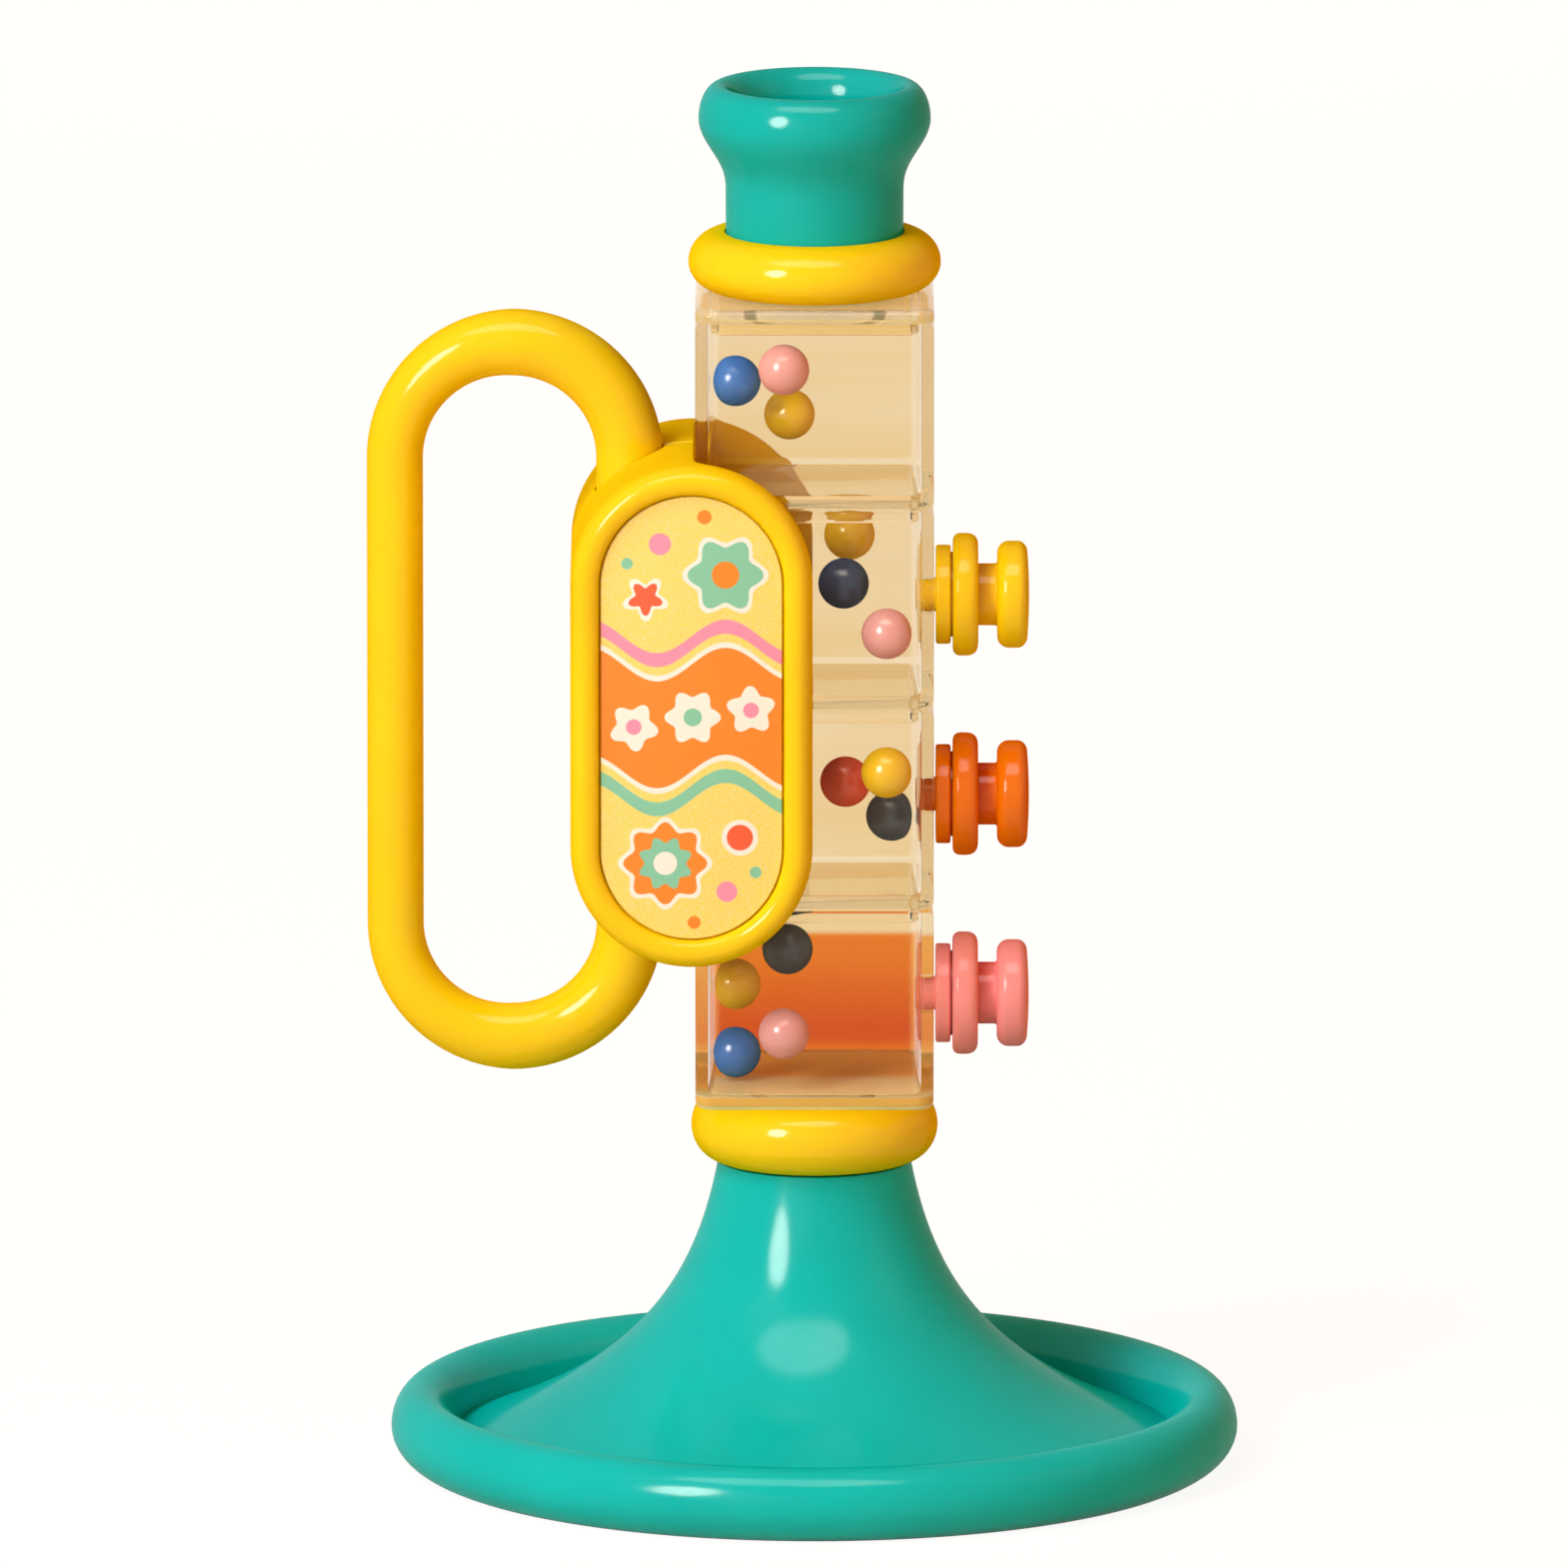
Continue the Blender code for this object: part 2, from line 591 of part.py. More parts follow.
def case(trumpet):
    """Front and rear halves, cut to clear the body, the handle's inner limb and the screws."""
    finish = material("case_yellow", YELLOW, 0.3)
    reach = CASE_HALF_HEIGHT + OVERRUN
    half = BODY_HALF + GAP
    rings = [square_ring(half, BODY_CORNER + GAP, z) for z in (-reach, reach)]
    body_cut = place(lofted("body_clearance", rings), trumpet, (0.0, 0.0, CASE_Z))
    limb_radius = HANDLE_ROOT_RADIUS + GAP
    limb = (HANDLE_LIMB_X, 0.0, CASE_Z)
    limb_cut = cutter_rod("limb_clearance", trumpet, limb_radius, -reach, reach, limb)
    shank_cut_end = SCREW_SEAT_Y - SCREW_LENGTH - GAP
    for name, face in (("case_front", -1), ("case_rear", 1)):
        shell = place(lofted(name, case_rings(face), finish), trumpet, (CASE_X, 0.0, CASE_Z))
        boolean(shell, body_cut, "DIFFERENCE")
        boolean(shell, limb_cut, "DIFFERENCE")
        for number, height in enumerate(screw_places(), 1):
            top = OVERRUN if face < 0 else SCREW_SEAT_Y + OVERRUN
            hole = cutter_rod(
                f"{name}_hole_{number}",
                trumpet,
                SCREW_SHANK_RADIUS + GAP,
                shank_cut_end if face < 0 else -OVERRUN,
                top,
                (SCREW_X, 0.0, height),
                (math.radians(-90), 0.0, 0.0),
                SCREW_SIDES,
            )
            boolean(shell, hole, "DIFFERENCE")
            if face > 0:
                well = cutter_rod(
                    f"{name}_well_{number}",
                    trumpet,
                    SCREW_HEAD_RADIUS + GAP,
                    SCREW_SEAT_Y,
                    CASE_DEPTH + OVERRUN,
                    (SCREW_X, 0.0, height),
                    (math.radians(-90), 0.0, 0.0),
                    SCREW_SIDES,
                )
                boolean(shell, well, "DIFFERENCE")


def screws(trumpet):
    """Countersunk from the rear, each with its seat under the head."""
    finish = material("screw_steel", STEEL, 0.35, 1.0)
    length = SCREW_LENGTH - SCREW_TIP
    profile = [
        (0.0, -SCREW_LENGTH),
        (SCREW_SHANK_RADIUS, -length),
        (SCREW_SHANK_RADIUS, 0.0),
        (SCREW_HEAD_RADIUS, 0.0),
        (SCREW_HEAD_RADIUS, SCREW_HEAD_HEIGHT / 2),
        (SCREW_HEAD_RADIUS / 2, SCREW_HEAD_HEIGHT),
        (0.0, SCREW_HEAD_HEIGHT),
    ]
    for number, height in enumerate(screw_places(), 1):
        screw = turned(f"case_screw_{number}", profile, SCREW_SIDES, finish)
        place(screw, trumpet, (SCREW_X, SCREW_SEAT_Y + GAP, height), (math.radians(-90), 0.0, 0.0))


def label(trumpet):
    """A thin plate that lies in the recess of the front half."""
    inset = CASE_RIM_WIDTH + GAP
    back = CASE_DEPTH - CASE_RECESS_DEPTH + GAP
    rings = [case_outline(inset, depth) for depth in (-back, -back - LABEL_THICKNESS)]
    plate = lofted("label", rings, material("label_cream", LABEL_CREAM, 0.45))
    place(plate, trumpet, (CASE_X, 0.0, CASE_Z))


def stub_profile():
    """A peg into the wall, a round base and a thin socket wall that carries the flange."""
    socket_radius = PLUNGER_COLLAR_RADIUS + GAP
    spigot_radius = socket_radius + STUB_WALL
    spigot_top = FLANGE_Z + STUB_SOCKET - GAP
    return [
        (0.0, -BODY_WALL),
        (KEY_PEG_RADIUS, -BODY_WALL),
        (KEY_PEG_RADIUS, GAP),
        (STUB_RADIUS, GAP),
        (STUB_RADIUS, STUB_HEIGHT),
        (spigot_radius, STUB_HEIGHT),
        (spigot_radius, spigot_top),
        (socket_radius, spigot_top),
        (socket_radius, KEY_FLOOR_Z),
        (0.0, KEY_FLOOR_Z),
    ]


def flange_profile():
    """A ring with round edges, whose inner lip holds the plunger in."""
    socket_radius = PLUNGER_COLLAR_RADIUS + GAP + STUB_WALL + GAP
    lip_radius = PLUNGER_RADIUS + GAP
    lip_z = FLANGE_TOP_Z - FLANGE_LIP
    edge = (FLANGE_EDGE, FLANGE_EDGE)
    profile = [(socket_radius, FLANGE_Z)]
    profile += arc((FLANGE_RADIUS - FLANGE_EDGE, FLANGE_Z + FLANGE_EDGE), edge, -90, 0, 2)
    profile += arc((FLANGE_RADIUS - FLANGE_EDGE, FLANGE_TOP_Z - FLANGE_EDGE), edge, 0, 90, 2)
    profile += [(lip_radius, FLANGE_TOP_Z), (lip_radius, lip_z), (socket_radius, lip_z)]
    return profile


def plunger_profile():
    """Stop collar, hollow neck and round-edged cap."""
    collar_z = COLLAR_TOP_Z - PLUNGER_COLLAR
    cap_top = KEY_CAP_Z + KEY_CAP_HEIGHT
    edge = (KEY_CAP_EDGE, KEY_CAP_EDGE)
    roof = cap_top - KEY_CAP_ROOF
    profile = [(0.0, roof), (PLUNGER_BORE, roof), (PLUNGER_BORE, collar_z)]
    profile += [(PLUNGER_COLLAR_RADIUS, collar_z), (PLUNGER_COLLAR_RADIUS, COLLAR_TOP_Z)]
    profile += [(PLUNGER_RADIUS, COLLAR_TOP_Z), (PLUNGER_RADIUS, KEY_CAP_Z)]
    profile += arc((KEY_CAP_RADIUS - KEY_CAP_EDGE, KEY_CAP_Z + KEY_CAP_EDGE), edge, -90, 0, 2)
    profile += arc((KEY_CAP_RADIUS - KEY_CAP_EDGE, cap_top - KEY_CAP_EDGE), edge, 0, 90, 2)
    profile += [(0.0, cap_top)]
    return profile


def spring_points():
    """The spring's centre line, from the stub's floor to the plunger's roof."""
    start = KEY_FLOOR_Z + GAP + SPRING_WIRE_RADIUS
    end = KEY_CAP_Z + KEY_CAP_HEIGHT - KEY_CAP_ROOF - GAP - SPRING_WIRE_RADIUS
    count = SPRING_TURNS * SPRING_STEPS
    points = []
    for i in range(count + 1):
        angle = math.tau * i / SPRING_STEPS
        height = start + (end - start) * i / count
        points.append(Vector((SPRING_RADIUS * math.cos(angle), SPRING_RADIUS * math.sin(angle), height)))
    return points


def report_spring_gap(points):
    """Prints the least gap between the wire's turns, from points at least half a turn apart."""
    apart = SPRING_STEPS // 2
    pairs = [(a, b) for i, a in enumerate(points) for b in points[i + apart :]]
    gap = min((a - b).length for a, b in pairs) - 2 * SPRING_WIRE_RADIUS
    print(f"least gap between the spring's turns: {gap / MM:.2f} mm")


def spring(name, parent):
    """A compression spring, one unbroken wire."""
    points = spring_points()
    report_spring_gap(points)
    curve = bpy.data.curves.new(name, "CURVE")
    curve.dimensions = "3D"
    curve.bevel_depth = SPRING_WIRE_RADIUS
    curve.bevel_resolution = 1
    curve.use_fill_caps = True
    spline = curve.splines.new("POLY")
    spline.points.add(len(points) - 1)
    for point, centre in zip(spline.points, points):
        point.co = (*centre, 1.0)
    curve.materials.append(material("spring_steel", STEEL, 0.3, 1.0))
    place(bpy.data.objects.new(name, curve), parent)


def keys(trumpet):
    """Three push keys on the body's side. Each has its parts along the local Z axis of an empty."""
    turned_pieces = {"stub": stub_profile(), "flange": flange_profile(), "plunger": plunger_profile()}
    for number, (name, colour) in enumerate(KEYS, 1):
        side = (BODY_HALF, 0.0, key_z(number))
        axis = empty(f"key_{number}_axis", trumpet, side, (0.0, math.radians(90), 0.0))
        finish = material(f"key_{name}", colour, 0.3)
        for piece, profile in turned_pieces.items():
            place(turned(f"key_{number}_{piece}", profile, KEY_SIDES, finish), axis)
        spring(f"key_{number}_spring", axis)


def beads(trumpet):
    """Loose round beads, each where it lies in its chamber."""
    for chamber_number, name, colour, lane, x_share, z_share in BEAD_PLACE_SHARES:
        bm = bmesh.new()
        bmesh.ops.create_uvsphere(bm, u_segments=BEAD_SIDES, v_segments=BEAD_RINGS, radius=BEAD_RADIUS)
        bead = mesh_object(f"bead_{chamber_number}_{name}", bm, material(f"bead_{name}", colour, 0.2))
        bottom = BODY_Z + (CHAMBER_COUNT - chamber_number) * CHAMBER_PITCH
        x = x_share * CAVITY_HALF
        y = BEAD_LANE_SHARES[lane - 1] * CAVITY_HALF
        place(bead, trumpet, (x, y, bottom + z_share * CHAMBER_PITCH))


def main():
    clear_scene()
    trumpet = empty("trumpet_axis", location=(AXIS_X, 0.0, 0.0))
    bell(trumpet)
    lower_size = (LOWER_COLLAR_RADIUS, LOWER_BORE_RADIUS, LOWER_COLLAR_HEIGHT)
    collar("lower_collar", trumpet, lower_size, LOWER_COLLAR_Z)
    clear_body(trumpet)
    upper_size = (UPPER_COLLAR_RADIUS, MOUTH_NECK_RADIUS, UPPER_COLLAR_HEIGHT)
    collar("upper_collar", trumpet, upper_size, UPPER_COLLAR_Z)
    mouthpiece(trumpet)
    whistle(trumpet)
    handle(trumpet)
    case(trumpet)
    screws(trumpet)
    label(trumpet)
    keys(trumpet)
    beads(trumpet)


if __name__ == "__main__":
    main()
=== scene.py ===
"""A toddler's toy trumpet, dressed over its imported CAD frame.

The file is laid out as an add-on and is run as a script. Lengths are metres and +Z is up.
"""

import math

import bmesh
import bpy
from mathutils import Matrix, Vector


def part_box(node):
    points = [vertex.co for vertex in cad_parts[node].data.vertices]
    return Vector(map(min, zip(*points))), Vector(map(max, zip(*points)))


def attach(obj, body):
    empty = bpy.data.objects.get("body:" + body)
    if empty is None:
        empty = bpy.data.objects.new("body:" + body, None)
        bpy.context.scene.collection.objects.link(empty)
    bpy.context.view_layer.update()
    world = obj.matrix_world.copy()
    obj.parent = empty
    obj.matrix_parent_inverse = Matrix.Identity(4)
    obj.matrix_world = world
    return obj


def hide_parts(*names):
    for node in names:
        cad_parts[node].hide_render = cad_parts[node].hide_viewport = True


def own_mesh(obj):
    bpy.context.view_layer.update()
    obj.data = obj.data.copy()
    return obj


bl_info = {
    "name": "Toy Trumpet",
    "version": (1, 0, 0),
    "blender": (4, 5, 0),
    "location": "View3D > Sidebar > Trumpet",
    "description": "Makes the fine pieces, finishes and stage of a toy trumpet around its CAD frame",
    "category": "Mesh",
}

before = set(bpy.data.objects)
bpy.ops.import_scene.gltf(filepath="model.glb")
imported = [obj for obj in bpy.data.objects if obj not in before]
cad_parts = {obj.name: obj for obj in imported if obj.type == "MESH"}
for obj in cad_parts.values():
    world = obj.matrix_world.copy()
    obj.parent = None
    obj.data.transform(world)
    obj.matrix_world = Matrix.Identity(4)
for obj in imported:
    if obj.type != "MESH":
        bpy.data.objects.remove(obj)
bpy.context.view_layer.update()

MM = 0.001
GAP = 0.3 * MM

# Places that the frame gives
AXIS_X = sum(corner.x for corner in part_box("bell")) / 2
BODY_LOW_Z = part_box("lower_collar")[1].z + GAP
BODY_HIGH_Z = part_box("upper_collar")[0].z - GAP
BODY_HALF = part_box("chamber_1")[1].x - AXIS_X
CHAMBER_COUNT = 4
PITCH = (BODY_HIGH_Z - BODY_LOW_Z) / CHAMBER_COUNT
KEY_COUNT = 3
QUARTER_TURN = math.pi / 2

# Numbers of steps round or along a form
ROUND = 144
SMALL_ROUND = 72
HEAD_ROUND = 48
SHANK_ROUND = 32
COIL_ROUND = 32
WIRE_ROUND = 12
ENDS = 56
FINE = 10

# Points closer than WELD are one point, lengths under NOTHING count as none, and edges over SHARP stay sharp
WELD = GAP / 1000
NOTHING = GAP / 100
SHARP = math.radians(35)

# The range that a noise mostly keeps to
NOISE_LOW = 0.3
NOISE_HIGH = 0.7


def linear(red, green, blue):
    """Screen values from 0 to 255 as a linear colour."""
    shares = [value / 255 for value in (red, green, blue)]
    return tuple(s / 12.92 if s <= 0.04045 else ((s + 0.055) / 1.055) ** 2.4 for s in shares)


def length(name, description, millimetres):
    """A length property with its default in millimetres."""
    return bpy.props.FloatProperty(
        name=name, description=description, default=millimetres * MM, min=0.0, unit="LENGTH", precision=5
    )


def count(name, description, default):
    """A property for a number of copies or turns."""
    return bpy.props.IntProperty(name=name, description=description, default=default, min=1)


def colour(name, description, *screen):
    """A colour property with its default as screen values from 0 to 255."""
    return bpy.props.FloatVectorProperty(
        name=name, description=description, default=linear(*screen), min=0.0, max=1.0, subtype="COLOR"
    )


class TrumpetShape(bpy.types.PropertyGroup):
    """Sizes of the trumpet's pieces"""

    bell_wall: length("Bell wall", "Thickness of the bell", 2.2)
    bell_neck: length("Bell neck", "Radius that the flare settles to", 11.8)
    bell_fade: length("Flare fade", "Height over which the flare shrinks", 16.1)
    bell_flare_end: length("Flare end", "Height at which the flare meets the rim", 3.82)
    rim_width: length("Rim width", "Width of the rolled rim", 9.5)
    rim_half_height: length("Rim half height", "Half the height of the rolled rim", 5.9)
    rim_under: length("Rim under reach", "Half width of the rim's lower outer quarter", 7.2)
    rim_flat: length("Rim flat", "Depth cut off the rim for its foot", 0.5)
    spigot_radius: length("Spigot radius", "Radius of the bell's spigot", 13.3)
    spigot_wall: length("Spigot wall", "Thickness of the bell's spigot", 2.0)
    collar_land: length("Collar land", "Width of a collar's flat end", 0.7)
    collar_sag: length("Collar sag", "How far the upper collar's widest place lies under its middle", 0.5)
    body_wall: length("Body wall", "Thickness of a chamber's walls and floor", 2.0)
    body_corner: length("Body corner", "Radius of the body's upright corners", 3.0)
    cavity_corner: length("Cavity corner", "Radius of a cavity's upright corners", 2.5)
    body_edge: length("Body edge", "Radius of the body's level edges", 1.2)
    cavity_fillet: length("Cavity fillet", "Radius round a cavity's floor", 0.7)
    plug_depth: length("Plug depth", "Depth of the plug under a floor", 2.2)
    plug_wall: length("Plug wall", "Thickness of the plug under a floor", 1.3)
    boss_wall: length("Boss wall", "Thickness of the round bosses", 1.8)
    lower_boss: length("Lower boss", "Depth of the boss in the bell", 8.0)
    upper_boss: length("Upper boss", "Height of the boss in the mouthpiece", 6.0)
    lip_drop: length("Lip drop", "Half the height of the mouthpiece's lip", 5.3)
    lip_flare: length("Lip flare", "Height of the flare under the lip", 11.2)
    mouth_neck: length("Mouthpiece neck", "Radius of the mouthpiece's neck", 13.6)
    mouth_foot: length("Mouthpiece foot", "Radius of the mouthpiece's foot", 13.5)
    mouth_hole: length("Mouth hole", "Radius where the lip turns in", 11.6)
    mouth_bore: length("Mouth bore", "Radius of the mouthpiece's bore", 11.2)
    whistle_wall: length("Whistle wall", "Thickness of the whistle cup", 1.5)
    handle_tube: length("Free limb", "Tube radius at the handle's free limb", 4.3)
    handle_root: length("Held limb", "Tube radius at the handle's held limb", 5.1)
    handle_bend: length("Handle bend", "Radius of the handle's bends", 17.95)
    case_rim: length("Case rim", "Width of the case's raised rim", 4.35)
    case_crest: length("Rim crest", "Distance of the rim's crest from its edge", 2.4)
    case_edge: length("Case edge", "Depth over which the case's edge rounds in", 3.4)
    case_rim_drop: length("Rim drop", "Depth over which the rim rounds into the recess", 1.5)
    case_recess: length("Recess", "Depth of the recess for the label", 2.4)
    case_seam: length("Seam chamfer", "Chamfer along the seam of the halves", 0.3)
    screw_count: count("Screws", "Number of screws in the rear half", 4)
    screw_head: length("Screw head", "Radius of a screw's head", 2.1)
    screw_head_height: length("Screw head height", "Height of a screw's head", 1.5)
    screw_shank: length("Screw shank", "Radius of a screw's shank", 1.1)
    screw_length: length("Screw length", "Length of a screw under its head", 18.0)
    screw_tip: length("Screw tip", "Length of a screw's tapered tip", 1.2)
    screw_slot: length("Screw slot", "Width of the cross in a screw's head", 0.6)
    peg_radius: length("Key peg", "Radius of a key's peg in the wall", 2.6)
    stub_radius: length("Key stub", "Radius of a key's stub", 7.6)
    stub_height: length("Stub height", "Height of a key's stub", 2.6)
    key_base: length("Key base", "Thickness of the stub under the spring", 0.85)
    key_wall: length("Socket wall", "Thickness of the wall inside a key", 0.7)
    flange_radius: length("Key flange", "Radius of a key's flange", 9.4)
    flange_height: length("Flange height", "Height of a key's flange", 3.9)
    flange_lip: length("Flange lip", "Thickness of the lip that holds the plunger", 1.4)
    plunger_radius: length("Key neck", "Radius of a key's neck", 4.75)
    plunger_bore: length("Key bore", "Radius of the bore in a key's neck", 3.4)
    plunger_stop: length("Stop collar", "Radius of the plunger's stop collar", 5.5)
    plunger_stop_height: length("Stop height", "Height of the plunger's stop collar", 1.0)
    key_travel: length("Key travel", "How far a key goes in", 2.4)
    cap_gap: length("Cap gap", "Gap left under a pressed cap", 0.5)
    cap_radius: length("Key cap", "Radius of a key's cap", 8.2)
    cap_height: length("Cap height", "Height of a key's cap", 4.9)
    cap_edge: length("Cap edge", "Radius of a cap's edges", 1.8)
    cap_roof: length("Cap roof", "Thickness of a cap over the spring", 1.8)
    spring_turns: count("Spring turns", "Turns of a key's spring", 4)
    spring_radius: length("Spring radius", "Radius of a spring's turns", 2.65)
    spring_wire: length("Spring wire", "Radius of a spring's wire", 0.35)
    bead_seam: length("Bead seam", "Height of the fine ridge round a bead", 0.03)


class TrumpetPaint(bpy.types.PropertyGroup):
    """Colours of the trumpet's pieces"""

    teal: colour("Teal", "Bell", 2, 192, 190)
    mouth_teal: colour("Mouthpiece teal", "Mouthpiece", 2, 181, 176)
    yellow: colour("Yellow", "Handle, case, collars and top key", 252, 212, 14)
    orange: colour("Orange", "Middle key", 236, 118, 4)
    pink: colour("Pink", "Bottom key", 248, 152, 152)
    beige: colour("Beige tint", "Clear plastic of the upper chambers", 236, 212, 160)
    amber: colour("Orange tint", "The lowest chamber, where its tint is deepest", 209, 84, 20)
    amber_light: colour("Light orange tint", "The lowest chamber, where its tint is lightest", 236, 140, 34)
    floor_front: colour("Floor front", "Cloudy floor of the lowest chamber, at the front", 255, 252, 192)
    floor_rear: colour("Floor rear", "Cloudy floor of the lowest chamber, at the rear", 255, 200, 96)
    # Painted shade: the cloudy floor's upright faces take a darker colour than its level faces
    floor_shaded_side: colour("Floor side", "Upright faces of that floor", 230, 186, 92)
    # Painted shade: the lid's upright faces take a darker colour than its level ones, standing in for the
    # collar's shadow on its front
    lid_top: colour("Lid top", "Level faces of the cloudy lid", 255, 242, 214)
    lid_side: colour("Lid side", "Upright faces of the cloudy lid", 244, 230, 180)
    label: colour("Label ground", "Ground of the printed label", 248, 223, 100)
    print_orange: colour("Print orange", "Orange of the print", 240, 138, 10)
    print_teal: colour("Print teal", "Teal of the print", 132, 206, 174)
    print_pink: colour("Print pink", "Pink of the print", 245, 150, 184)
    print_red: colour("Print red", "Red of the print", 240, 92, 44)
    print_white: colour("Print white", "White of the print", 250, 248, 240)
    steel: colour("Steel", "Screws, springs and reed", 190, 192, 196)
    white: colour("Whistle white", "Whistle cup", 232, 230, 220)
    bead_blue: colour("Blue bead", "Blue beads", 60, 126, 222)
    bead_pink: colour("Pink bead", "Pink beads", 240, 178, 184)
    bead_gold: colour("Gold bead", "Gold beads", 250, 210, 20)
    bead_navy: colour("Navy bead", "Navy beads", 50, 70, 116)
    bead_red: colour("Red bead", "Red beads", 252, 102, 60)
    bead_grey: colour("Grey bead", "Grey beads", 88, 108, 130)


class Graph:
    """A short way to add nodes and links to one tree."""

    def __init__(self, tree):
        self.tree = tree

    def feed(self, socket, term):
        """Links a socket to another, or sets its value."""
        if isinstance(term, bpy.types.NodeSocket):
            self.tree.links.new(term, socket)
        else:
            socket.default_value = term

    def add(self, kind, settings=None, **terms):
        """A node with its settings, and its inputs fed by name with _ for a space."""
        node = self.tree.nodes.new(kind)
        for name, value in (settings or {}).items():
            setattr(node, name, value)
        for name, term in terms.items():
            self.feed(node.inputs[name.replace("_", " ")], term)
        return node

    def math(self, operation, *terms):
        node = self.add("ShaderNodeMath", {"operation": operation})
        for socket, term in zip(node.inputs, terms):
            self.feed(socket, term)
        return node.outputs[0]

    def times(self, first, second):
        return self.math("MULTIPLY", first, second)

    def vector(self, operation, *terms):
        node = self.add("ShaderNodeVectorMath", {"operation": operation})
        for socket, term in zip(node.inputs, terms):
            self.feed(socket, term)
        return node.outputs["Vector"]

    def split(self, vector):
        """The X, Y and Z of a vector."""
        return self.add("ShaderNodeSeparateXYZ", Vector=vector).outputs

    def mix(self, factor, under, over):
        """A colour between two others."""
        node = self.add("ShaderNodeMix", {"data_type": "RGBA"})
        self.feed(node.inputs["Factor"], factor)
        for socket, term in zip([s for s in node.inputs if s.type == "RGBA"], (under, over)):
            self.feed(socket, term)
        return next(s for s in node.outputs if s.type == "RGBA")

    def spread(self, value, low, high, to_low, to_high):
        """A value moved from one range to another."""
        node = self.add("ShaderNodeMapRange", Value=value)
        for name, term in zip(("From Min", "From Max", "To Min", "To Max"), (low, high, to_low, to_high)):
            self.feed(node.inputs[name], term)
        return node.outputs["Result"]

    def blend(self, output, factor, first, second):
        """Feeds an output with a mix of two shaders."""
        both = self.add("ShaderNodeMixShader")
        for socket, term in zip(both.inputs, (factor, first, second)):
            self.feed(socket, term)
        self.feed(output, both.outputs["Shader"])

    def object_place(self):
        """The place on the object, for a material."""
        return self.add("ShaderNodeTexCoord").outputs["Object"]

    def noise(self, place, scale, detail=2.0):
        return self.add("ShaderNodeTexNoise", Vector=place, Scale=scale, Detail=detail).outputs["Fac"]

    def uneven(self, place, scale, low, high, detail=2.0):
        """A value that drifts between two others."""
        return self.spread(self.noise(place, scale, detail), NOISE_LOW, NOISE_HIGH, low, high)

    def bump(self, height, strength, distance):
        """A normal that follows a height."""
        node = self.add("ShaderNodeBump", Height=height, Strength=strength, Distance=distance)
        return node.outputs["Normal"]

    def moved(self, piece, move, turn=(0.0, 0.0, 0.0)):
        """Geometry after a turn and a move."""
        return self.add("GeometryNodeTransform", Geometry=piece, Translation=move, Rotation=turn).outputs[0]


def rgba(rgb, share=1.0):
    """A colour with alpha, darker where the share is under 1."""
    return (*[min(channel * share, 1.0) for channel in rgb], 1.0)


def blank_material(name):
    """A new material's graph, its shader and the socket of its output."""
    made = bpy.data.materials.new(name)
    made.use_nodes = True
    nodes = made.node_tree.nodes
    return made, Graph(made.node_tree), nodes["Principled BSDF"], nodes["Material Output"].inputs["Surface"]


# Moulded plastic: how fine its patches, gloss, sheen and grain are, how its scuffs run and at which strength
# they are full, how much its roughness drifts, and over which angles its gloss fades
PATCH_SCALE = 34.0
GLOSS_SCALE = 150.0
SHEEN_SCALE = 90.0
GRAIN_SCALE = 420.0
SCUFF_SCALE = (260.0, 900.0, 70.0)
SCUFF_TURN = (0.4, 0.2, 0.6)
SCUFF_FULL = 0.75
DRIFT = 0.04
FADE_START = 0.12
FADE_END = 0.7


def moulded(name, rgb, roughness=0.3, coat=0.32, soft=0.1, low_gloss=0.0):
    """Moulded plastic: a little uneven in colour and gloss, with a faint grain and fine scuffs.

    Its gloss fades at a low angle to the share low_gloss, so that its edges keep their colour against a
    white room.
    """
    made, graph, shader, _ = blank_material(name)
    place = graph.object_place()
    patches = graph.uneven(place, PATCH_SCALE, 0.0, 1.0, 3.0)
    graph.feed(shader.inputs["Base Color"], graph.mix(patches, rgba(rgb, 0.93), rgba(rgb, 1.05)))
    stretched = graph.add("ShaderNodeMapping", Vector=place, Scale=SCUFF_SCALE, Rotation=SCUFF_TURN)
    scuffs = graph.noise(stretched.outputs["Vector"], 1.0, 4.0)
    scuffed = graph.spread(scuffs, 0.62, SCUFF_FULL, 0.0, 0.09)
    gloss = graph.uneven(place, GLOSS_SCALE, roughness - DRIFT, roughness + DRIFT)
    graph.feed(shader.inputs["Roughness"], graph.math("ADD", gloss, scuffed))
    grain = graph.math("ADD", graph.noise(place, GRAIN_SCALE, 3.0), graph.times(scuffs, 0.35))
    normal = graph.bump(grain, strength=0.12, distance=0.05 * MM)
    graph.feed(shader.inputs["Normal"], normal)
    graph.feed(shader.inputs["Coat Normal"], normal)
    worn = graph.spread(scuffs, 0.6, SCUFF_FULL, 1.0, 0.55)
    sheen = graph.uneven(place, SHEEN_SCALE, 0.85 * coat, 1.15 * coat)
    facing = graph.add("ShaderNodeLayerWeight", Blend=0.5).outputs["Facing"]
    fade = graph.spread(facing, FADE_START, FADE_END, 1.0, low_gloss)
    graph.feed(shader.inputs["Coat Weight"], graph.times(graph.times(sheen, worn), fade))
    shader.inputs["Coat Roughness"].default_value = soft
    shader.inputs["Specular IOR Level"].default_value = 0.0
    return made


# Clear plastic: its colour with no tint, what light keeps as it passes and in the depth, the share of its
# tint at the front, where the tint starts and is full in shares of the body's half width, and its coat
UNTINTED = (0.99, 0.975, 0.95)
PASSED = (0.985, 0.975, 0.955, 1.0)
DEPTH_TONE = (0.76, 0.56, 0.18, 1.0)
FRONT_TINT = 0.1
TINT_START = 0.8
TINT_FULL = 0.88
CLEAR_COAT = 0.15
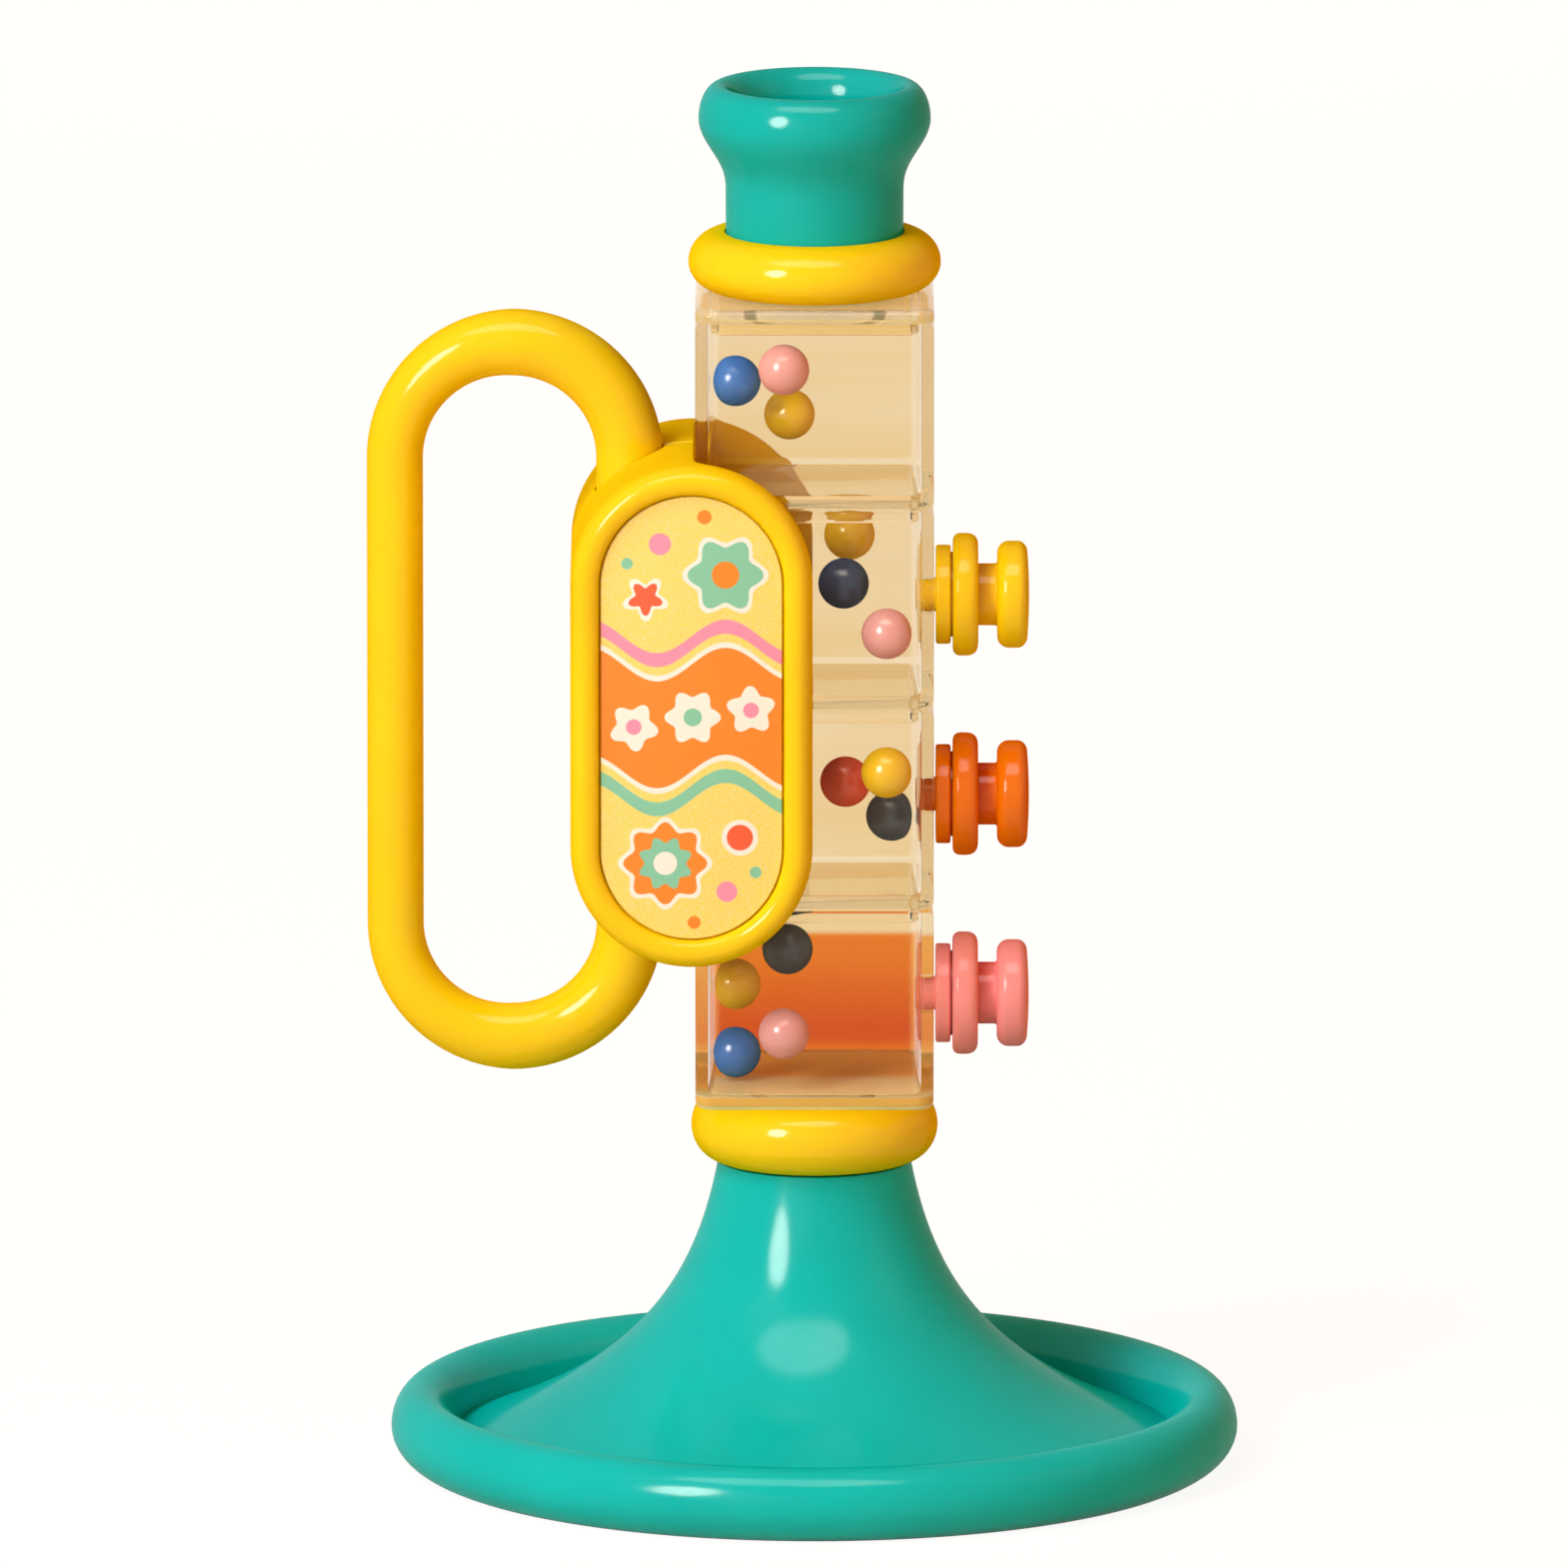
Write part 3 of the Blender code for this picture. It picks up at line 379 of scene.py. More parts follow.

# Its haze: the height over which it ends, where its front turns into its rear along Y, and how far up or down
# a normal points where a face stops being upright, with its painted shade, and where it starts being level
HAZE_END = 0.4 * MM
HAZE_TURN = (-4 * MM, MM)
HAZE_SLOPES = (0.3, 0.7)


def clear_plastic(name, tint, haze=None, warmth=28.0):
    """Clear moulded plastic that warms with depth, with a deeper tint in its rear wall.

    The tint is a function that gives a colour from a graph and a place. Below the height that haze gives,
    the plastic is cloudy, in a colour for its front and rear, with painted shade on its upright faces, which
    take their own darker side colour. Shadow and diffuse rays pass straight through, so that lamps reach what
    lies inside.
    """
    made, graph, shader, output = blank_material(name)
    place = graph.object_place()
    flat = graph.split(place)
    share = graph.spread(flat["Y"], TINT_START * BODY_HALF, TINT_FULL * BODY_HALF, FRONT_TINT, 1.0)
    tone = graph.mix(share, rgba(UNTINTED), tint(graph, place))
    shader.inputs["Transmission Weight"].default_value = 1.0
    shader.inputs["Coat Weight"].default_value = CLEAR_COAT
    if haze:
        low = graph.spread(flat["Z"], haze["height"], haze["height"] + HAZE_END, 1.0, 0.0)
        rearward = graph.spread(flat["Y"], *HAZE_TURN, 0.0, 1.0)
        cloud = graph.mix(rearward, rgba(haze["front"]), rgba(haze["rear"]))
        # Painted shade: upright faces of the cloudy part take the darker side colour, level faces the front
        # and rear ones
        normal = graph.add("ShaderNodeNewGeometry").outputs["Normal"]
        level = graph.spread(graph.math("ABSOLUTE", graph.split(normal)["Z"]), *HAZE_SLOPES, 0.0, 1.0)
        tone = graph.mix(low, tone, graph.mix(level, rgba(haze["side"]), cloud))
        graph.feed(shader.inputs["Transmission Weight"], graph.spread(low, 0.0, 1.0, 1.0, haze["through"]))
        graph.feed(shader.inputs["Coat Weight"], graph.spread(low, 0.0, 1.0, CLEAR_COAT, haze["sheen"]))
    graph.feed(shader.inputs["Base Color"], tone)
    graph.feed(shader.inputs["Roughness"], graph.uneven(place, 160.0, 0.01, 0.05))
    ripples = graph.noise(place, 70.0)
    graph.feed(shader.inputs["Normal"], graph.bump(ripples, strength=0.1, distance=0.1 * MM))
    shader.inputs["IOR"].default_value = 1.05
    shader.inputs["Coat Roughness"].default_value = 0.03
    passing = graph.add("ShaderNodeBsdfTransparent", Color=PASSED).outputs["BSDF"]
    path = graph.add("ShaderNodeLightPath").outputs
    unseen = graph.math("MAXIMUM", path["Is Shadow Ray"], path["Is Diffuse Ray"])
    graph.blend(output, unseen, shader.outputs["BSDF"], passing)
    depth = graph.add("ShaderNodeVolumeAbsorption", Color=DEPTH_TONE, Density=warmth).outputs["Volume"]
    graph.feed(made.node_tree.nodes["Material Output"].inputs["Volume"], depth)
    return made


def flowed(rgb):
    """A tint that pales a little in level bands, as if it had flowed."""

    def tint(graph, place):
        banded = graph.add("ShaderNodeMapping", Vector=place, Scale=(14.0, 14.0, 110.0)).outputs["Vector"]
        return graph.mix(graph.uneven(banded, 1.0, 0.78, 1.06), rgba(UNTINTED), rgba(rgb))

    return tint


# The lowest chamber's tint, over the body's foot: where it is deepest, and where its pale top starts. Then
# from the deepest place: how far up it is lightest, and how far down it is lightest and starts to lighten.
# Last, how high the pale top's edge is, and how much the tint wavers
DEEPEST = 6.5 * MM
PALE_START = 20.2 * MM
LIGHTEST_ABOVE = 12 * MM
LIGHTER_BELOW = (4.5 * MM, 1.5 * MM)
PALE_EDGE = 0.8 * MM
WAVE = 1.5 * MM


def shaded(deep, light, pale, foot):
    """A tint that is deepest a little over the floor, lighter above and below, and pale towards the top."""

    def tint(graph, place):
        height = graph.split(place)["Z"]
        wavy = graph.math("ADD", height, graph.times(graph.noise(place, 60.0), WAVE))
        core, top = foot + DEEPEST, foot + PALE_START
        above = graph.spread(wavy, core, core + LIGHTEST_ABOVE, 0.0, 0.62)
        below = graph.spread(wavy, *[core - drop for drop in LIGHTER_BELOW], 0.9, 0.0)
        tone = graph.mix(graph.math("MAXIMUM", above, below), rgba(deep), rgba(light))
        return graph.mix(graph.spread(height, top, top + PALE_EDGE, 0.0, 1.0), tone, rgba(pale))

    return tint


def steel(name, rgb, roughness=0.3):
    """Drawn or rolled steel with fine lines and faint spots."""
    made, graph, shader, _ = blank_material(name)
    place = graph.object_place()
    drawn = graph.add("ShaderNodeMapping", Vector=place, Scale=(4000, 300, 4000)).outputs["Vector"]
    lines = graph.noise(drawn, 1.0, 3.0)
    tone = graph.mix(graph.noise(place, 500.0), rgba(rgb, 0.8), rgba(rgb, 1.1))
    graph.feed(shader.inputs["Base Color"], tone)
    gloss = graph.spread(lines, NOISE_LOW, NOISE_HIGH, roughness - 0.08, roughness + 0.1)
    graph.feed(shader.inputs["Roughness"], gloss)
    graph.feed(shader.inputs["Normal"], graph.bump(lines, strength=0.15, distance=0.03 * MM))
    shader.inputs["Metallic"].default_value = 1.0
    return made


# How far a printed edge blurs to each side, in millimetres
PRINT_EDGE = 0.06


def spot_group():
    """A node group that lays one printed spot over a colour. Its lobes make it a flower or a star."""
    tree = bpy.data.node_groups.new("Printed spot", "ShaderNodeTree")
    for name, kind in (
        ("Place", "NodeSocketVector"),
        ("Centre", "NodeSocketVector"),
        ("Radius", "NodeSocketFloat"),
        ("Lobes", "NodeSocketFloat"),
        ("Lobe Depth", "NodeSocketFloat"),
        ("Turn", "NodeSocketFloat"),
        ("Under", "NodeSocketColor"),
        ("Over", "NodeSocketColor"),
    ):
        tree.interface.new_socket(name, in_out="INPUT", socket_type=kind)
    tree.interface.new_socket("Color", in_out="OUTPUT", socket_type="NodeSocketColor")
    graph = Graph(tree)
    given = graph.add("NodeGroupInput").outputs
    away = graph.vector("SUBTRACT", given["Place"], given["Centre"])
    flat = graph.split(away)
    reach = graph.math("SQRT", graph.math("ADD", *[graph.times(flat[axis], flat[axis]) for axis in "XZ"]))
    angle = graph.math("ADD", graph.math("ARCTAN2", flat["Z"], flat["X"]), given["Turn"])
    wave = graph.math("COSINE", graph.times(angle, given["Lobes"]))
    dip = graph.times(graph.math("SUBTRACT", 1.0, wave), graph.times(given["Lobe Depth"], 0.5))
    edge = graph.times(given["Radius"], graph.math("SUBTRACT", 1.0, dip))
    inside = graph.spread(graph.math("SUBTRACT", edge, reach), -PRINT_EDGE, PRINT_EDGE, 0.0, 1.0)
    graph.feed(graph.add("NodeGroupOutput").inputs["Color"], graph.mix(inside, given["Under"], given["Over"]))
    return tree


# The print's spots in millimetres from the label's middle: x, z, radius, lobes, lobe depth, turn and colour
SPOTS = (
    (-8.8, -1.4, 3.8, 5, 0.3, 0.2, "print_white"),
    (-8.8, -1.4, 1.2, 1, 0.0, 0.0, "print_pink"),
    (0.2, 0.1, 4.3, 6, 0.26, 0.0, "print_white"),
    (0.2, 0.1, 1.4, 1, 0.0, 0.0, "print_teal"),
    (9.1, 1.2, 3.8, 5, 0.3, 0.9, "print_white"),
    (9.1, 1.2, 1.2, 1, 0.0, 0.0, "print_pink"),
    (5.2, 22.2, 6.6, 6, 0.24, 0.0, "print_white"),
    (5.2, 22.2, 5.8, 6, 0.26, 0.0, "print_teal"),
    (5.2, 22.2, 2.1, 1, 0.0, 0.0, "print_orange"),
    (-7.0, 18.6, 3.6, 5, 0.4, 0.3, "print_white"),
    (-7.0, 18.6, 2.7, 5, 0.42, 0.3, "print_red"),
    (-4.8, 27.0, 1.7, 1, 0.0, 0.0, "print_pink"),
    (2.0, 31.2, 1.1, 1, 0.0, 0.0, "print_orange"),
    (-9.8, 24.0, 0.9, 1, 0.0, 0.0, "print_teal"),
    (-4.0, -22.6, 7.2, 8, 0.18, 0.0, "print_white"),
    (-4.0, -22.6, 6.4, 8, 0.2, 0.0, "print_orange"),
    (-4.0, -22.6, 4.2, 8, 0.24, 0.4, "print_teal"),
    (-4.0, -22.6, 1.8, 1, 0.0, 0.0, "print_white"),
    (7.4, -18.6, 2.8, 1, 0.0, 0.0, "print_white"),
    (7.4, -18.6, 2.0, 1, 0.0, 0.0, "print_red"),
    (5.4, -27.0, 1.6, 1, 0.0, 0.0, "print_pink"),
    (9.8, -24.0, 0.9, 1, 0.0, 0.0, "print_teal"),
    (0.4, -31.8, 1.0, 1, 0.0, 0.0, "print_orange"),
)

# Its waved ribbons: middle height and half thickness in millimetres, and colour
RIBBONS = (
    (0.0, 9.2, "print_white"),
    (0.0, 8.3, "print_orange"),
    (-11.6, 1.1, "print_teal"),
    (11.6, 1.1, "print_pink"),
)

# How far the ribbons swing, in millimetres, and how fast, in radians for each millimetre
RIBBON_SWING = 2.6
RIBBON_RATE = 0.3


def printed(name, paint, middle):
    """A printed label under a satin film, with waved ribbons and scattered flowers and spots."""
    made, graph, shader, _ = blank_material(name)
    scale = 1 / MM
    shift = tuple(-scale * value for value in middle)
    mapping = graph.add("ShaderNodeMapping", Vector=graph.object_place(), Scale=(scale,) * 3, Location=shift)
    place = mapping.outputs["Vector"]
    speckle = graph.spread(graph.noise(place, 3.2, 1.0), 0.45, 0.7, 0.0, 0.26)
    tone = graph.mix(speckle, rgba(paint.label), rgba(paint.print_white))
    flat = graph.split(place)
    swing = graph.times(graph.math("SINE", graph.times(flat["X"], RIBBON_RATE)), RIBBON_SWING)
    level = graph.math("SUBTRACT", flat["Z"], swing)
    for height, half, ink in RIBBONS:
        away = graph.math("ABSOLUTE", graph.math("SUBTRACT", level, height))
        inside = graph.spread(away, half - PRINT_EDGE, half + PRINT_EDGE, 1.0, 0.0)
        tone = graph.mix(inside, tone, rgba(getattr(paint, ink)))
    group = spot_group()
    for x, z, radius, lobes, depth, turn, ink in SPOTS:
        spot = graph.add("ShaderNodeGroup", {"node_tree": group}, Place=place, Centre=(x, 0.0, z), Under=tone)
        for socket, value in (("Radius", radius), ("Lobes", lobes), ("Lobe Depth", depth), ("Turn", turn)):
            spot.inputs[socket].default_value = value
        spot.inputs["Over"].default_value = rgba(getattr(paint, ink))
        tone = spot.outputs["Color"]
    graph.feed(shader.inputs["Base Color"], tone)
    graph.feed(shader.inputs["Roughness"], graph.uneven(place, 0.6, 0.36, 0.5))
    fibres = graph.noise(place, 2.4)
    graph.feed(shader.inputs["Normal"], graph.bump(fibres, strength=0.08, distance=0.05 * MM))
    shader.inputs["Coat Weight"].default_value = 0.25
    shader.inputs["Coat Roughness"].default_value = 0.2
    return made


def mesh_piece(name, bm, finish=None):
    """An object from a bmesh, with faces outwards and smooth shading between its sharp edges."""
    bmesh.ops.remove_doubles(bm, verts=bm.verts, dist=WELD)
    bmesh.ops.recalc_face_normals(bm, faces=bm.faces)
    mesh = bpy.data.meshes.new(name)
    bm.to_mesh(mesh)
    bm.free()
    piece = bpy.data.objects.new(name, mesh)
    bpy.context.collection.objects.link(piece)
    return smoothed(piece, finish)


def smoothed(piece, finish=None):
    """Smooth shading between the sharp edges, and one finish."""
    piece.data.shade_smooth()
    piece.data.set_sharp_from_angle(angle=SHARP)
    if finish:
        piece.data.materials.clear()
        piece.data.materials.append(finish)
    return piece


def lofted(name, rings, finish=None):
    """A piece with faces between rings of equal length, and over both ends."""
    bm = bmesh.new()
    loops = [[bm.verts.new(point) for point in ring] for ring in rings]
    for lower, upper in zip(loops, loops[1:]):
        for i in range(len(lower)):
            j = (i + 1) % len(lower)
            bm.faces.new((lower[i], lower[j], upper[j], upper[i]))
    bm.faces.new(list(reversed(loops[0])))
    bm.faces.new(loops[-1])
    return mesh_piece(name, bm, finish)


def turned(name, profile, matrix, sides=ROUND, finish=None):
    """A closed outline of (radius, height) points, spun about the Z axis of a matrix."""
    bm = bmesh.new()
    rings = []
    for radius, height in profile:
        if radius < NOTHING:
            rings.append([bm.verts.new(matrix @ Vector((0.0, 0.0, height)))])
            continue
        angles = [math.tau * i / sides for i in range(sides)]
        ring = [Vector((radius * math.cos(a), radius * math.sin(a), height)) for a in angles]
        rings.append([bm.verts.new(matrix @ point) for point in ring])
    pairs = list(zip(rings, rings[1:]))
    if len(rings[0]) > 1 or len(rings[-1]) > 1:
        pairs.append((rings[-1], rings[0]))
    for lower, upper in pairs:
        for i in range(sides):
            j = (i + 1) % sides
            corners = [ring[k % len(ring)] for ring, k in ((lower, i), (lower, j), (upper, j), (upper, i))]
            bm.faces.new(list(dict.fromkeys(corners)))
    return mesh_piece(name, bm, finish)


def arc(centre, radii, start, end, steps):
    """Points of an elliptical arc, from start to end in degrees, both ends included."""
    angles = [math.radians(start + (end - start) * i / steps) for i in range(steps + 1)]
    return [(centre[0] + radii[0] * math.cos(a), centre[1] + radii[1] * math.sin(a)) for a in angles]


def eased(corners, steps=5):
    """An outline of (radius, height, fillet) corners, with each corner rounded by its fillet."""
    outline = []
    for i, (radius, height, fillet) in enumerate(corners):
        here = Vector((radius, height))
        sides = [Vector(corners[(i + step) % len(corners)][:2]) - here for step in (-1, 1)]
        reach = min(fillet, *(side.length / 2 for side in sides))
        if reach < NOTHING:
            outline.append(tuple(here))
            continue
        start, end = (here + side.normalized() * reach for side in sides)
        for step in range(steps + 1):
            t = step / steps
            outline.append(tuple(start * (1 - t) ** 2 + here * 2 * t * (1 - t) + end * t * t))
    return outline


def square_ring(half, corner, height):
    """A square outline with rounded corners about the trumpet's axis, level at one height."""
    ring = []
    for quarter in range(4):
        turn = QUARTER_TURN * quarter
        along = Vector((math.cos(turn), math.sin(turn), 0.0))
        across = Vector((-along.y, along.x, 0.0))
        middle = (along + across) * (half - corner) + Vector((AXIS_X, 0.0, height))
        for i in range(FINE + 1):
            angle = QUARTER_TURN * i / FINE
            ring.append(middle + (along * math.cos(angle) + across * math.sin(angle)) * corner)
    return ring


def stadium_ring(middle, half_width, half_height, depth):
    """An upright outline with straight sides and half-round ends, at one depth along Y."""
    ring = []
    for sign in (1, -1):
        for i in range(ENDS + 1):
            angle = math.pi * i / ENDS
            x = middle.x + sign * half_width * math.cos(angle)
            z = middle.z + sign * (half_height - half_width + half_width * math.sin(angle))
            ring.append(Vector((x, depth, z)))
    return ring


def upright(height, x=AXIS_X):
    """The matrix of something that stands at a height, on the trumpet's axis if nothing else is given."""
    return Matrix.Translation((x, 0.0, height))


def plain_mesh(piece):
    """Turns a piece and its modifiers into one plain mesh."""
    graph = bpy.context.evaluated_depsgraph_get()
    made = bpy.data.meshes.new_from_object(piece.evaluated_get(graph))
    piece.modifiers.clear()
    piece.data = made
    return piece


def carved(piece, steps, finish):
    """A piece after exact Booleans, each an operation and a tool that is used up."""
    for operation, tool in steps:
        step = piece.modifiers.new(tool.name, "BOOLEAN")
        step.operation = operation
        step.solver = "EXACT"
        step.object = tool
    plain_mesh(piece)
    for _, tool in steps:
        bpy.data.objects.remove(tool, do_unlink=True)
    return smoothed(piece, finish)


def rod(name, matrix, radius, start, end, sides=SMALL_ROUND):
    """A round tool along the Z axis of a matrix."""
    return turned(name, [(0.0, start), (radius, start), (radius, end), (0.0, end)], matrix, sides)


def dressed(piece, body, slot, *nodes):
    """Makes a piece ride on its body and stand for its CAD nodes, which it hides. The slot is not used."""
    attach(piece, body)
    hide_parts(*nodes)
    return piece


def geometry_tree(name, inputs):
    """An empty geometry tree with named inputs. Gives its graph, its inputs and its output."""
    tree = bpy.data.node_groups.new(name, "GeometryNodeTree")
    tree.interface.new_socket("Geometry", in_out="OUTPUT", socket_type="NodeSocketGeometry")
    for label, kind in inputs.items():
        tree.interface.new_socket(label, in_out="INPUT", socket_type=f"NodeSocket{kind}")
    graph = Graph(tree)
    return graph, graph.add("NodeGroupInput").outputs, graph.add("NodeGroupOutput").inputs["Geometry"]


def finish_tree(graph, given, geometry, output):
    """Ends a tree: real geometry, smooth shading and its material."""
    real = graph.add("GeometryNodeRealizeInstances", Geometry=geometry).outputs[0]
    smooth = graph.add("GeometryNodeSetShadeSmooth", Geometry=real).outputs[0]
    painted = graph.add("GeometryNodeSetMaterial", Geometry=smooth, Material=given["Material"])
    graph.feed(output, painted.outputs[0])
    return graph.tree


def grown(name, tree, values):
    """The plain mesh piece that a geometry tree makes from its named inputs."""
    mesh = bpy.data.meshes.new(name)
    piece = bpy.data.objects.new(name, mesh)
    bpy.context.collection.objects.link(piece)
    step = piece.modifiers.new("Grow", "NODES")
    step.node_group = tree
    for item in tree.interface.items_tree:
        if item.in_out == "INPUT":
            step[item.identifier] = values[item.name]
    plain_mesh(piece)
    return smoothed(piece)


def loop_tree():
    """A round tube along an upright closed loop, thinner on its free side."""
    graph, given, output = geometry_tree(
        "Handle loop",
        {
            "Bend Radius": "Float",
            "Half Height": "Float",
            "Free Radius": "Float",
            "Held Radius": "Float",
            "Middle": "Vector",
            "Material": "Material",
        },
    )
    circle = graph.add("GeometryNodeCurvePrimitiveCircle", Resolution=2 * ROUND, Radius=given["Bend Radius"])
    place = graph.split(graph.add("GeometryNodeInputPosition").outputs[0])
    limb = graph.math("SUBTRACT", given["Half Height"], given["Bend Radius"])
    rise = graph.math("ADD", place["Y"], graph.times(graph.math("SIGN", place["Y"]), limb))
    spot = graph.add("ShaderNodeCombineXYZ", X=place["X"], Z=rise).outputs[0]
    path = graph.add("GeometryNodeSetPosition", Geometry=circle.outputs["Curve"], Position=spot).outputs[0]
    share = graph.math("ADD", graph.math("DIVIDE", place["X"], given["Bend Radius"]), 1.0)
    capped = graph.math("MINIMUM", share, 1.0)
    gain = graph.math("SUBTRACT", given["Held Radius"], given["Free Radius"])
    tube = graph.math("ADD", given["Free Radius"], graph.times(gain, capped))
    round_profile = graph.add("GeometryNodeCurvePrimitiveCircle", Resolution=SMALL_ROUND, Radius=1.0)
    body = graph.add(
        "GeometryNodeCurveToMesh", Curve=path, Profile_Curve=round_profile.outputs["Curve"], Scale=tube
    ).outputs["Mesh"]
    return finish_tree(graph, given, graph.moved(body, given["Middle"]), output)


def spring_tree():
    """A wire wound in even turns along +X from its start."""
    graph, given, output = geometry_tree(
        "Key spring",
        {
            "Turns": "Float",
            "Radius": "Float",
            "Wire Radius": "Float",
            "Length": "Float",
            "Start": "Vector",
            "Material": "Material",
        },
    )
    spiral = graph.add(
        "GeometryNodeCurveSpiral",
        Resolution=COIL_ROUND,
        Rotations=given["Turns"],
        Start_Radius=given["Radius"],
        End_Radius=given["Radius"],
        Height=given["Length"],
    )
    wire = graph.add("GeometryNodeCurvePrimitiveCircle", Resolution=WIRE_ROUND, Radius=given["Wire Radius"])
    coil = graph.add(
        "GeometryNodeCurveToMesh",
        Curve=spiral.outputs["Curve"],
        Profile_Curve=wire.outputs["Curve"],
        Fill_Caps=True,
    ).outputs["Mesh"]
    placed = graph.moved(coil, given["Start"], (0.0, QUARTER_TURN, 0.0))
    return finish_tree(graph, given, placed, output)


# A screw's shape in shares: its head's top in the head's radius, the lap of its shank in the head's height,
# its tip's two ends in the shank's radius, and the reach of its cross in the head's radius
HEAD_TOP = 0.62
SHANK_LAP = 0.2
TIP_TOP = 0.96
TIP_END = 0.2
CROSS_REACH = 1.1


def screw_tree():
    """A row of cross-head screws along Z, whose heads face +Y."""
    graph, given, output = geometry_tree(
        "Case screws",
        {
            "Count": "Int",
            "Pitch": "Float",
            "Head Radius": "Float",
            "Head Height": "Float",
            "Shank Radius": "Float",
            "Shank Length": "Float",
            "Tip Length": "Float",
            "Slot Width": "Float",
            "First": "Vector",
            "Material": "Material",
        },
    )

    def along_z(term):
        return graph.add("ShaderNodeCombineXYZ", Z=term).outputs[0]

    head = graph.add(
        "GeometryNodeMeshCone",
        Vertices=HEAD_ROUND,
        Side_Segments=1,
        Radius_Top=graph.times(given["Head Radius"], HEAD_TOP),
        Radius_Bottom=given["Head Radius"],
        Depth=given["Head Height"],
    ).outputs["Mesh"]
    shank_depth = graph.math("SUBTRACT", given["Shank Length"], given["Tip Length"])
    overlap = graph.times(given["Head Height"], SHANK_LAP)
    shank = graph.add(
        "GeometryNodeMeshCylinder",
        Vertices=SHANK_ROUND,
        Radius=given["Shank Radius"],
        Depth=graph.math("ADD", shank_depth, overlap),
    ).outputs["Mesh"]
    shank = graph.moved(shank, along_z(graph.times(graph.math("SUBTRACT", overlap, shank_depth), 0.5)))
    tip = graph.add(
        "GeometryNodeMeshCone",
        Vertices=SHANK_ROUND,
        Radius_Top=graph.times(given["Shank Radius"], TIP_TOP),
        Radius_Bottom=graph.times(given["Shank Radius"], TIP_END),
        Depth=given["Tip Length"],
    ).outputs["Mesh"]
    tip = graph.moved(tip, along_z(graph.times(given["Shank Length"], -1.0)))
    whole = graph.add("GeometryNodeMeshBoolean", {"operation": "UNION", "solver": "EXACT"})
    for part in (head, shank, tip):
        graph.feed(whole.inputs["Mesh 2"], part)
    slots = graph.add("GeometryNodeMeshBoolean", {"operation": "DIFFERENCE", "solver": "EXACT"})
    graph.feed(slots.inputs["Mesh 1"], whole.outputs["Mesh"])
    reach = graph.times(given["Head Radius"], CROSS_REACH)
    for first, second in ((given["Slot Width"], reach), (reach, given["Slot Width"])):
        size = graph.add("ShaderNodeCombineXYZ", X=first, Y=second, Z=given["Head Height"]).outputs[0]
        arm = graph.add("GeometryNodeMeshCube", Size=size).outputs["Mesh"]
        graph.feed(slots.inputs["Mesh 2"], graph.moved(arm, along_z(given["Head Height"])))
    step = along_z(given["Pitch"])
    row = graph.add("GeometryNodeMeshLine", Count=given["Count"], Offset=step).outputs["Mesh"]
    copies = graph.add(
        "GeometryNodeInstanceOnPoints",
        Points=row,
        Instance=slots.outputs["Mesh"],
        Rotation=(-QUARTER_TURN, 0.0, 0.0),
    ).outputs[0]
    return finish_tree(graph, given, graph.moved(copies, given["First"]), output)


# Half the width of the ridge round a bead
SEAM_HALF = 0.2 * MM


def bead_tree():
    """A round bead with a fine moulding ridge, turned by a seeded chance."""
    graph, given, output = geometry_tree(
        "Rattle bead",
        {
            "Radius": "Float",
            "Seam": "Float",
            "Centre": "Vector",
            "Seed": "Int",
            "Material": "Material",
        },
    )
    core = graph.math("SUBTRACT", given["Radius"], given["Seam"])
    ball = graph.add("GeometryNodeMeshUVSphere", Segments=64, Rings=40, Radius=core).outputs["Mesh"]
    place = graph.add("GeometryNodeInputPosition").outputs[0]
    near = graph.spread(graph.math("ABSOLUTE", graph.split(place)["Z"]), 0.0, SEAM_HALF, 1.0, 0.0)
    lift = graph.add("ShaderNodeVectorMath", {"operation": "SCALE"}, Scale=graph.times(near, given["Seam"]))
    graph.feed(lift.inputs[0], graph.vector("NORMALIZE", place))
    ridged = graph.add("GeometryNodeSetPosition", Geometry=ball, Offset=lift.outputs["Vector"]).outputs[0]
    chance = graph.add("FunctionNodeRandomValue", {"data_type": "FLOAT_VECTOR"}, Seed=given["Seed"])
    chance.inputs["Max"].default_value = (math.tau,) * 3
    placed = graph.moved(ridged, given["Centre"], chance.outputs["Value"])
    return finish_tree(graph, given, placed, output)


# The flare's rows, and how they crowd towards the rim
FLARE_STEPS = 48
FLARE_CROWD = 1.6


